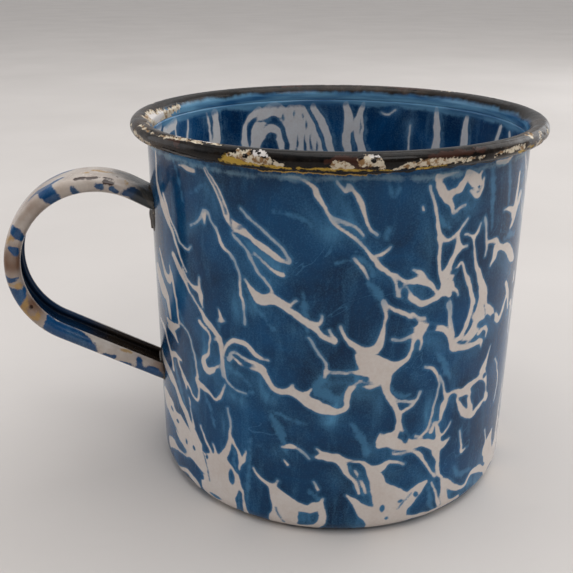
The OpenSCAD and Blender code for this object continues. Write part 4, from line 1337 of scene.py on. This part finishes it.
# %% Chips on the rim: (turn, mm round the bead, half width)
OCHRE_CHIPS = [
    [(-132, 3.5, 0.3), (-130.4, 3.3, 0.8), (-128, 3.4, 0.8), (-124, 3.7, 0.5), (-119, 3.9, 0.45), (-115, 4.1, 0.25)],
    [(-113, 4.2, 0.15), (-109, 4.0, 0.4), (-105, 4.0, 0.45), (-101, 4.2, 0.3), (-97, 4.3, 0.2), (-93, 4.4, 0.1)],
    [(-87, 4.3, 0.1), (-84, 4.1, 0.2), (-80, 3.8, 0.1)],
]
CREAM_CHIPS = [
    [(-129, 2.3, 0.5), (-126.5, 2.0, 0.9), (-124, 2.6, 0.9), (-121.5, 2.9, 0.8), (-118.8, 3.1, 0.6), (-117, 3.5, 0.2)],
    [(-105.8, 3.4, 0.4), (-104, 3.0, 0.7), (-101.8, 3.3, 0.4)],
    [(-99.6, 2.4, 0.5), (-98.2, 1.9, 0.7), (-96.6, 2.5, 0.9), (-95.4, 3.3, 0.6)],
    [(-92, 3.9, 0.3), (-89, 3.3, 0.5), (-86.5, 3.2, 0.7), (-84, 2.9, 0.7), (-80.5, 3.0, 0.5), (-76, 3.0, 0.4),
     (-70, 3.2, 0.25)],
    [(-66, 2.9, 0.2), (-60, 2.6, 0.4), (-54, 2.5, 0.3)],
    [(178, -1.2, 0.3), (173, -2.3, 1.0), (166, -3.1, 1.5), (158, -3.1, 1.1), (150, -3.0, 0.6), (143, -2.6, 0.3)],
    [(-176, -1.6, 0.2), (-172, -1.9, 0.6), (-166, -2.0, 0.3)],
    [(-168, 0.6, 0.1), (-156, 1.0, 0.2), (-146, 0.7, 0.15), (-138, 0.4, 0.2), (-132, 0.2, 0.1)],
    [(-170, 2.4, 0.2), (-164, 3.4, 0.5), (-158, 3.6, 0.3)],
]
WHITE_CHIPS = [
    [(-123.4, 1.6, 0.45), (-121.8, 1.4, 0.6), (-120.6, 1.8, 0.35)],
    [(-97.4, 1.5, 0.15), (-95.6, 1.3, 0.25)],
    [(170, -2.4, 0.4), (163, -3.0, 0.6), (156, -3.0, 0.4)],
    [(-150, -0.4, 0.08), (-142, -0.5, 0.14), (-136, -0.4, 0.08)],
]
RUST_CHIPS = [
    [(-107, 2.4, 0.4), (-104, 1.8, 0.6), (-101.2, 2.4, 0.9), (-99, 3.1, 0.7)],
    [(-84, 2.0, 0.5), (-79, 1.8, 0.8), (-74, 1.6, 0.6), (-69, 1.6, 0.4)],
    [(-150, 1.0, 0.3), (-145, 1.2, 0.5)],
    [(88, -0.6, 0.4), (95, -0.9, 0.5)],
    [(40, -0.5, 0.4), (50, -0.8, 0.6), (56, -0.6, 0.4)],
]
DARK_PITS = [(-122.2, 1.5, 0.35, 0.4), (-125.6, 2.2, 0.4, 0.35), (-120.3, 2.9, 0.5, 0.3), (-96.9, 2.2, 0.5, 0.4)]
luck = np.random.default_rng(11)
for number in range(46):
    turn = luck.uniform(-62, 215)
    place_round = luck.normal(2.2, 1.6)
    long = luck.uniform(0.4, 2.4)
    chip = [(turn - long, place_round, 0.12), (turn, place_round + luck.normal(0, 0.3), luck.uniform(0.15, 0.5)),
            (turn + long, place_round + luck.normal(0, 0.3), 0.12)]
    (OCHRE_CHIPS, CREAM_CHIPS, CREAM_CHIPS, RUST_CHIPS, RUST_CHIPS)[number % 5].append(chip)
print(len(OCHRE_CHIPS) + len(CREAM_CHIPS) + len(RUST_CHIPS) + len(WHITE_CHIPS), "chips")

# %% Turn, paint and chip the rim
rim_coat = turned_piece("rim_coat", rim_outline, 840, (-180, 360, 0.999), 0.0, rim_black)
points, turns, away = mesh_points(rim_coat)
round_bead = np.radians(90) - np.arctan2(points[:, 2] - bead_z, away - bead_x)
round_bead = np.where(round_bead > math.pi * 1.08, round_bead - 2 * math.pi, round_bead) * bead_r
shifted_turn, shifted_round = wavered(turns, round_bead, 0.25, 1.6, 21.0)
RIM_R = bead_x + 0.5 * bead_r
fields = {}
for label, chips in (("ochre", OCHRE_CHIPS), ("cream", CREAM_CHIPS), ("white", WHITE_CHIPS), ("rust", RUST_CHIPS)):
    gaps = DARK_PITS if label in ("cream", "white") else ()
    fields[label] = paint(shifted_turn, shifted_round, chips, gaps, radius=RIM_R, web=0.4)
    store(rim_coat, label, fields[label])
ragged = np.array([noise.noise(Vector((math.cos(a), math.sin(a), 5)) * 7) for a in np.radians(turns)])
fine = np.array([noise.noise(Vector((math.cos(a), math.sin(a), 9)) * 30) for a in np.radians(turns)])
lip_edge = points[:, 2] - 79.8 - 0.6 * ragged - 0.3 * fine
store(rim_coat, "lip_blue", np.where(away < bead_x - 0.6, lip_edge, 3.0))
side_wear = np.maximum(np.exp(-((turns + 166) / 16) ** 2), 0.8 * np.exp(-((turns + 44) / 20) ** 2))
side_wear = np.maximum(side_wear, 0.8 * np.exp(-((np.abs(turns) - 172) / 16) ** 2))
side_wear = np.maximum(side_wear, 0.5 * np.exp(-((turns - 60) / 40) ** 2))
drift = np.array([noise.noise(Vector(p) * 0.35) for p in points])
store(rim_coat, "abraded", np.clip(side_wear * (0.75 + 1.0 * drift), 0, 1))
deepest = np.minimum(np.minimum(fields["ochre"], fields["cream"]), fields["white"])
dent = 0.17 * np.clip((0.12 - deepest) / 0.22, 0, 1)
lumps = np.array([noise.noise(Vector(p) * 0.55) for p in points])
dent = dent + 0.05 * np.clip(lumps, 0, 1)
on_bead = (away > bead_x - 0.2) | (points[:, 2] > bead_z)
outward = np.stack([
    np.cos(np.radians(turns)) * (away - bead_x), np.sin(np.radians(turns)) * (away - bead_x), points[:, 2] - bead_z
], 1)
reach = np.linalg.norm(outward, axis=1, keepdims=True)
glass_side = (reach[:, 0] > bead_r - 0.1) & on_bead
points = points - outward / np.maximum(reach, 0.1) * np.where(glass_side, dent, 0)[:, None]
rim_coat.data.vertices.foreach_set("co", (points * MM).ravel())
rim_coat.data.update()
print("rim chipped, deepest", round(float(dent.max()), 2), "mm")

# %% [markdown]
# ## The handle
# The handle is one section carried along one path, so a second tree sweeps
# it: the path's points carry an inward direction, the section's points give
# how far across and how far inward. It could be a curve with a bevel, but
# then the distance along and around, which the painting needs, would be
# lost; here the tree stores both on the mesh.

# %% Build the sweep tree
SWEEP_INPUTS = (
    ("Path", "NodeSocketObject"),
    ("Path Points", "NodeSocketInt"),
    ("Section", "NodeSocketObject"),
    ("Section Points", "NodeSocketInt"),
    ("Finish", "NodeSocketMaterial"),
)
tree, given, result = new_tree("strap_sweep", SWEEP_INPUTS)
path_info = add_node(tree, "GeometryNodeObjectInfo")
wire(tree, given.outputs["Path"], path_info.inputs["Object"])
section_info = add_node(tree, "GeometryNodeObjectInfo")
wire(tree, given.outputs["Section"], section_info.inputs["Object"])
grid, column, row = grid_of_points(tree, given.outputs["Path Points"], given.outputs["Section Points"])
position = add_node(tree, "GeometryNodeInputPosition").outputs[0]


def named_value(tree, label, kind):
    """Reads a named attribute inside Geometry Nodes."""
    made = add_node(tree, "GeometryNodeInputNamedAttribute", data_type=kind)
    made.inputs["Name"].default_value = label
    return made.outputs["Attribute"]


path_place = look_up(tree, path_info.outputs["Geometry"], position, column, "FLOAT_VECTOR")
inward = look_up(tree, path_info.outputs["Geometry"], named_value(tree, "inward", "FLOAT_VECTOR"), column, "FLOAT_VECTOR")
along = look_up(tree, path_info.outputs["Geometry"], named_value(tree, "along", "FLOAT"), column, "FLOAT")
section_place = look_up(tree, section_info.outputs["Geometry"], position, row, "FLOAT_VECTOR")
around = look_up(tree, section_info.outputs["Geometry"], named_value(tree, "around", "FLOAT"), row, "FLOAT")
split = add_node(tree, "ShaderNodeSeparateXYZ")
wire(tree, section_place, split.inputs[0])
sunk = add_node(tree, "ShaderNodeVectorMath", operation="SCALE")
wire(tree, inward, sunk.inputs[0])
wire(tree, split.outputs["Z"], sunk.inputs["Scale"])
across = add_node(tree, "ShaderNodeCombineXYZ")
wire(tree, split.outputs["X"], across.inputs[1])
total = add_node(tree, "ShaderNodeVectorMath", operation="ADD")
wire(tree, path_place, total.inputs[0])
wire(tree, sunk.outputs[0], total.inputs[1])
final = add_node(tree, "ShaderNodeVectorMath", operation="ADD")
wire(tree, total.outputs[0], final.inputs[0])
wire(tree, across.outputs[0], final.inputs[1])
moved = add_node(tree, "GeometryNodeSetPosition")
wire(tree, grid, moved.inputs["Geometry"])
wire(tree, final.outputs[0], moved.inputs["Position"])
shape = moved.outputs["Geometry"]
for label, value in (("along", along), ("around", around)):
    keep = add_node(tree, "GeometryNodeStoreNamedAttribute", data_type="FLOAT", domain="POINT")
    keep.inputs["Name"].default_value = label
    wire(tree, shape, keep.inputs["Geometry"])
    wire(tree, value, keep.inputs["Value"])
    shape = keep.outputs["Geometry"]
finish_tree(tree, shape, given, result)
sweep_tree = tree
print("sweep tree:", len(sweep_tree.nodes), "nodes")

# %% Path of the handle
strap_low, strap_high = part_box("handle_enamel")
LOOP_R = 19.4
LEG_FOOT = 21.4
strap_w = (strap_high.y - strap_low.y) / MM
loop_x = strap_low.x / MM + LOOP_R
loop_z = strap_high.z / MM - LOOP_R
leg_far = math.hypot(-wall_r - loop_x, LEG_FOOT - loop_z)
tilt = math.acos(LOOP_R / leg_far) - math.atan2(LEG_FOOT - loop_z, -wall_r - loop_x) - math.pi / 2
leg_l = math.sqrt(leg_far**2 - LOOP_R**2)
OVERRUN = 3.0
PATH_STEP = 0.55
run_points = round((leg_l + OVERRUN) / PATH_STEP)
bend_points = round(math.pi * LOOP_R / PATH_STEP)
path, leans, alongs = [], [], []
for i in range(run_points):
    back = (leg_l + OVERRUN) * (1 - i / run_points)
    path.append((
        loop_x + LOOP_R * math.sin(tilt) + back * math.cos(tilt), 0,
        loop_z + LOOP_R * math.cos(tilt) - back * math.sin(tilt),
    ))
    leans.append((-math.sin(tilt), 0, -math.cos(tilt)))
    alongs.append(leg_l - back)
for i in range(bend_points + 1):
    turn = math.pi / 2 - tilt + math.pi * i / bend_points
    path.append((loop_x + LOOP_R * math.cos(turn), 0, loop_z + LOOP_R * math.sin(turn)))
    leans.append((-math.cos(turn), 0, -math.sin(turn)))
    alongs.append(leg_l + math.pi * LOOP_R * i / bend_points)
for i in range(1, run_points + 1):
    out = (leg_l + OVERRUN) * i / run_points
    path.append((
        loop_x - LOOP_R * math.sin(tilt) + out * math.cos(tilt), 0,
        loop_z - LOOP_R * math.cos(tilt) - out * math.sin(tilt),
    ))
    leans.append((math.sin(tilt), 0, math.cos(tilt)))
    alongs.append(leg_l + math.pi * LOOP_R + out)
print(f"handle path: {len(path)} points, leg {leg_l:.1f} mm, tilt {math.degrees(tilt):.1f} degrees")

# %% Section of the strap: a channel with rolled edges
SIDE_R = 1.7
WALL = 1.2
side_x = strap_w / 2 - SIDE_R
ARCH = 0.12
section = run_arc((side_x, SIDE_R), SIDE_R, 90, -90, 16)
crown = run_line((side_x, 0), (-side_x, 0), 16)
section += [(x, z - ARCH * (1 - (x / side_x) ** 2)) for x, z in crown]
section += run_arc((-side_x, SIDE_R), SIDE_R, -90, -270, 16)
section += run_arc((-side_x, 2 * SIDE_R - WALL / 2), WALL / 2, 90, -90, 7)
section += run_arc((-side_x, SIDE_R), SIDE_R - WALL, 90, 270, 6)
section += run_line((-side_x, WALL), (side_x, WALL), 10)
section += run_arc((side_x, SIDE_R), SIDE_R - WALL, -90, 90, 6)
section += run_arc((side_x, 2 * SIDE_R - WALL / 2), WALL / 2, -90, -270, 7)
section.append(section[0])
steps = np.hypot(*np.diff(np.array(section), axis=0).T)
arounds = np.concatenate([[0], np.cumsum(steps)])
crown_middle = arounds[16 + 8]
arounds = crown_middle - arounds
print(f"section: {len(section)} points, {arounds[0] - arounds[-1]:.1f} mm round")

# %% Sweep the handle and trim it to the wall
path_helper = point_mesh("handle_path", path, inward=np.array(leans), along=np.array(alongs))
section_helper = point_mesh("strap_section", [(x, 0, z) for x, z in section], around=arounds)
handle_coat = run_tree(
    "handle_coat", sweep_tree, Path=path_helper, Path_Points=len(path), Section=section_helper,
    Section_Points=len(section), Finish=handle_cream,
)
bpy.data.objects.remove(path_helper)
bpy.data.objects.remove(section_helper)
BURIED = 0.12
work = bmesh.new()
work.from_mesh(handle_coat.data)
slope = Vector((math.cos(tilt), 0, -math.sin(tilt)))
stop = wall_r - BURIED
for vertex in work.verts:
    x, y, z = vertex.co / MM
    if x * x + y * y < stop * stop:
        edge_x = -math.sqrt(stop * stop - y * y)
        vertex.co += slope * ((edge_x - x) / slope.x) * MM
bmesh.ops.remove_doubles(work, verts=work.verts, dist=2e-6)
bmesh.ops.dissolve_degenerate(work, dist=2e-6, edges=work.edges)
rims = [edge for edge in work.edges if len(edge.link_faces) == 1]
bmesh.ops.holes_fill(work, edges=rims, sides=0)
big = [face for face in work.faces if len(face.verts) > 4]
bmesh.ops.triangulate(work, faces=big)
work.to_mesh(handle_coat.data)
work.free()
face_outward(handle_coat)

# %% [markdown]
# ### Patches on the handle
# Ovals and short strokes in (mm along from the upper joint, mm around from
# the middle of the crown; minus is the side that faces the camera).

# %% Paint the handle
PATCHES = [
    [(27.5, -7.6, 0.8), (25.8, -6.6, 1.3), (23.6, -7.6, 1.1), (21, -8.2, 0.8)],
    [(30.7, -7.3, 0.55), (29.5, -7.9, 0.7)],
    [(34, -6.9, 0.65), (33, -7, 0.7)],
    [(39.6, -6.6, 0.35), (39.4, -8, 0.9)],
    [(41.3, -1.6, 0.5), (43.5, -2.6, 1.0), (45.5, -4.5, 1.7), (44.6, -7.5, 1.7), (45, -9.6, 1.2)],
    [(45.5, -3.2, 1.2), (47.5, -2.6, 0.9), (49.2, -3.4, 0.3)],
    [(55.7, -5.0, 0.6), (56.6, -6.6, 1.0), (57.4, -8.2, 0.8)],
    [(60.5, -6.3, 0.7), (61, -7.8, 1.0)],
    [(67.6, -4.6, 0.8), (68.2, -6.2, 0.8), (67.8, -7.8, 0.3)],
    [(70.7, -5.2, 0.9), (72, -6.6, 1.6), (73.6, -5.4, 0.9)],
    [(71.2, -8.2, 0.7), (72.2, -7.2, 0.8)],
    [(81.2, -9.0, 0.9), (84, -7.0, 2.3), (88, -6.4, 2.9), (91.5, -5.8, 2.6), (93, -5.2, 1.9)],
    [(96.9, -5.2, 0.9), (98.2, -5.4, 1.0), (98.8, -6.6, 0.4)],
    [(100.9, -5.0, 0.8), (102.4, -5.3, 1.0)],
    [(104.2, -8.0, 0.5), (104.8, -6.4, 0.9), (104.9, -5.0, 0.9)],
    [(106.8, -5.4, 1.2), (108.6, -6.2, 1.6), (110, -5.8, 1.3)],
    [(39.5, 3.8, 0.5), (43.5, 3.0, 0.7), (47.5, 2.4, 0.5)],
    [(52, 4.4, 1.4), (55, 5.4, 1.2)],
    [(63, 3.6, 1.0), (67, 1.6, 1.2)],
    [(76, 5.4, 1.4), (81, 3.6, 0.8)],
    [(88, 4.6, 1.4), (94, 5.4, 1.2)],
    [(27, 5.6, 1.3), (32, 6.4, 0.9)],
    [(84, -1.8, 0.7), (87, -0.4, 1.1), (90, 0.4, 0.8)],
    [(98, 1.6, 1.0), (103, 2.6, 1.3), (107, 4.2, 0.9)],
]
SPOTS = [
    [(38.6, -4.9, 0.38), (37.1, -4.9, 0.5)],
    [(35.9, -4.9, 0.3), (34.2, -4.8, 0.48)],
    [(33.1, -4.7, 0.12), (31, -5, 0.25)],
    [(32.5, -5.9, 0.45), (31, -6.1, 0.55)],
    [(30.1, -3, 0.16), (29.9, -3.1, 0.18)],
    [(75.9, -7.6, 0.35), (76.4, -7.4, 0.4)],
    [(61.4, 1.8, 0.3), (62, 2.2, 0.3)],
    [(52.6, -1.2, 0.15), (53, -1.0, 0.2)],
]
GOLD = [
    [(34.6, 0.5, 0.5), (32.4, -0.4, 0.8), (30.8, -0.6, 0.4)],
    [(28.3, -3.6, 0.4), (27.6, -4.6, 0.5)],
    [(69.2, -5.6, 0.3), (69.8, -7.4, 0.6)],
    [(73.8, -7.8, 0.5), (75.4, -6.2, 0.9), (77.6, -5.6, 0.7), (79, -7.6, 0.5)],
    [(58, -6, 0.3), (59, -5.2, 0.5)],
    [(99.8, -8.6, 0.3), (102.2, -8.8, 0.4)],
    [(37.5, -1.4, 0.1), (36, -1.6, 0.4)],
]
points, turns, away = mesh_points(handle_coat)
count = len(handle_coat.data.vertices)
along_mm = np.empty(count, np.float32)
around_mm = np.empty(count, np.float32)
handle_coat.data.attributes["along"].data.foreach_get("value", along_mm)
handle_coat.data.attributes["around"].data.foreach_get("value", around_mm)
jitter = np.array([noise.noise_vector(Vector(p) * 0.45) for p in points])
along_w = along_mm + 0.5 * jitter[:, 0]
around_w = around_mm + 0.5 * jitter[:, 1]
one_mm = math.degrees(1) / 1.0
for label, marks in (("patch", PATCHES), ("spot", SPOTS), ("gold", GOLD)):
    store(handle_coat, label, paint(along_w, around_w, marks, radius=one_mm, web=0.5, closed=False))
GROOVE_NEAR = -10.0
GROOVE_FAR = 7.4
store(handle_coat, "groove", np.minimum(around_w - GROOVE_NEAR, GROOVE_FAR - around_w))
store(handle_coat, "groove_brown", np.clip((along_mm + 3 * jitter[:, 2] - 90) / 8, 0, 1))


def bump_at(middle, wide):
    """A soft hill along the handle."""
    return np.exp(-(((along_mm - middle) / wide) ** 2))


tea = 0.12 + 0.35 * bump_at(50, 5) + 0.85 * bump_at(64, 4.2) + 0.80 * bump_at(76, 4.5) + 0.6 * bump_at(110, 2.6)
store(handle_coat, "tea", np.clip(tea + 0.22 * jitter[:, 2], 0, 1))
total_l = 2 * leg_l + math.pi * LOOP_R
# Painted shade near the wall: the upper leg, an oval at the upper joint and the last 1.2 mm at the lower joint are
# darkened.
joint_shade = np.minimum(along_mm - 26.0 - 1.0 * jitter[:, 0], total_l - along_mm - 1.2 - jitter[:, 1])
green = np.hypot((along_mm - 23.5) / 2.1, around_mm - 0.8) - 3.4 + 0.8 * jitter[:, 0]
store(handle_coat, "joint_shade", np.minimum(joint_shade, green))
print("handle painted,", round(total_l, 1), "mm along")

# %% [markdown]
# ## Glass pooled at the handle's ends
# Where the strap meets the wall the glass ran together and set as a flat
# drop. Each pool is a lens wrapped on the wall: rings of points, thick in
# the middle, thin and ragged at the edge, with a back just under the wall.

# %% Make the pools
POOL_RINGS = 14
POOL_SPOKES = 72
POOL_RISE = 0.62


def pool_piece(name, node, seed):
    """A ragged lens of glass on the wall, inside the box of its CAD node."""
    low, high = (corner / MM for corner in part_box(node))
    middle = (low.z + high.z) / 2
    half_w = (high.y - low.y) / 2 - 0.4
    half_h = (high.z - low.z) / 2 - 0.4
    work = bmesh.new()
    layers = []
    for front in (True, False):
        rings = []
        for ring in range(1, POOL_RINGS + 1):
            share = ring / POOL_RINGS
            verts = []
            for spoke in range(POOL_SPOKES):
                a = 2 * math.pi * spoke / POOL_SPOKES
                flow = 1 + 0.16 * noise.noise(Vector((math.cos(a) * 1.6, math.sin(a) * 1.6, seed)))
                squash = 1 / max(abs(math.cos(a)) ** 3 + abs(math.sin(a)) ** 3, 0.1) ** (1 / 3)
                y = half_w * share * math.cos(a) * flow * squash * 0.92
                z = middle + half_h * share * math.sin(a) * flow * squash * 0.92
                bulge = (1 - share**4) * (0.75 + 0.5 * noise.noise(Vector((y, z, seed)) * 0.5))
                r = wall_r + (POOL_RISE * bulge - 0.02 if front else -0.16)
                verts.append(work.verts.new((-math.sqrt(r * r - y * y) * MM, y * MM, z * MM)))
            rings.append(verts)
        r = wall_r + (POOL_RISE * 0.75 if front else -0.16)
        hub = work.verts.new((-r * MM, 0, middle * MM))
        layers.append((rings, hub))
    for rings, hub in layers:
        for i in range(POOL_SPOKES):
            j = (i + 1) % POOL_SPOKES
            work.faces.new((hub, rings[0][i], rings[0][j]))
            for inner, outer in zip(rings[:-1], rings[1:]):
                work.faces.new((inner[i], outer[i], outer[j], inner[j]))
    for i in range(POOL_SPOKES):
        j = (i + 1) % POOL_SPOKES
        front_edge, back_edge = layers[0][0][-1], layers[1][0][-1]
        work.faces.new((front_edge[i], back_edge[i], back_edge[j], front_edge[j]))
    for face in work.faces:
        face.smooth = True
    mesh = bpy.data.meshes.new(name)
    work.to_mesh(mesh)
    work.free()
    mesh.materials.append(pooled_brown)
    piece = bpy.data.objects.new(name, mesh)
    bpy.context.scene.collection.objects.link(piece)
    face_outward(piece)
    return piece


upper_pool = pool_piece("upper_pool", "upper_pool_enamel", 2.0)
lower_pool = pool_piece("lower_pool", "lower_pool_enamel", 7.0)

# %% [markdown]
# ## Put the pieces on the body
# Every new piece rides on the one body and stands for its CAD node, which is
# hidden.

# %% Ride and replace
for piece, node, slot in (
    (outer_coat, "outer_enamel", "outer_swirl_enamel"),
    (inner_coat, "inner_enamel", "inner_swirl_enamel"),
    (rim_coat, "rim_enamel", "rim_enamel"),
    (handle_coat, "handle_enamel", "handle_enamel"),
    (upper_pool, "upper_pool_enamel", "pooled_enamel"),
    (lower_pool, "lower_pool_enamel", "pooled_enamel"),
):
    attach(piece, "root")
    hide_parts(node)
    print(piece.name, "stands for", node)
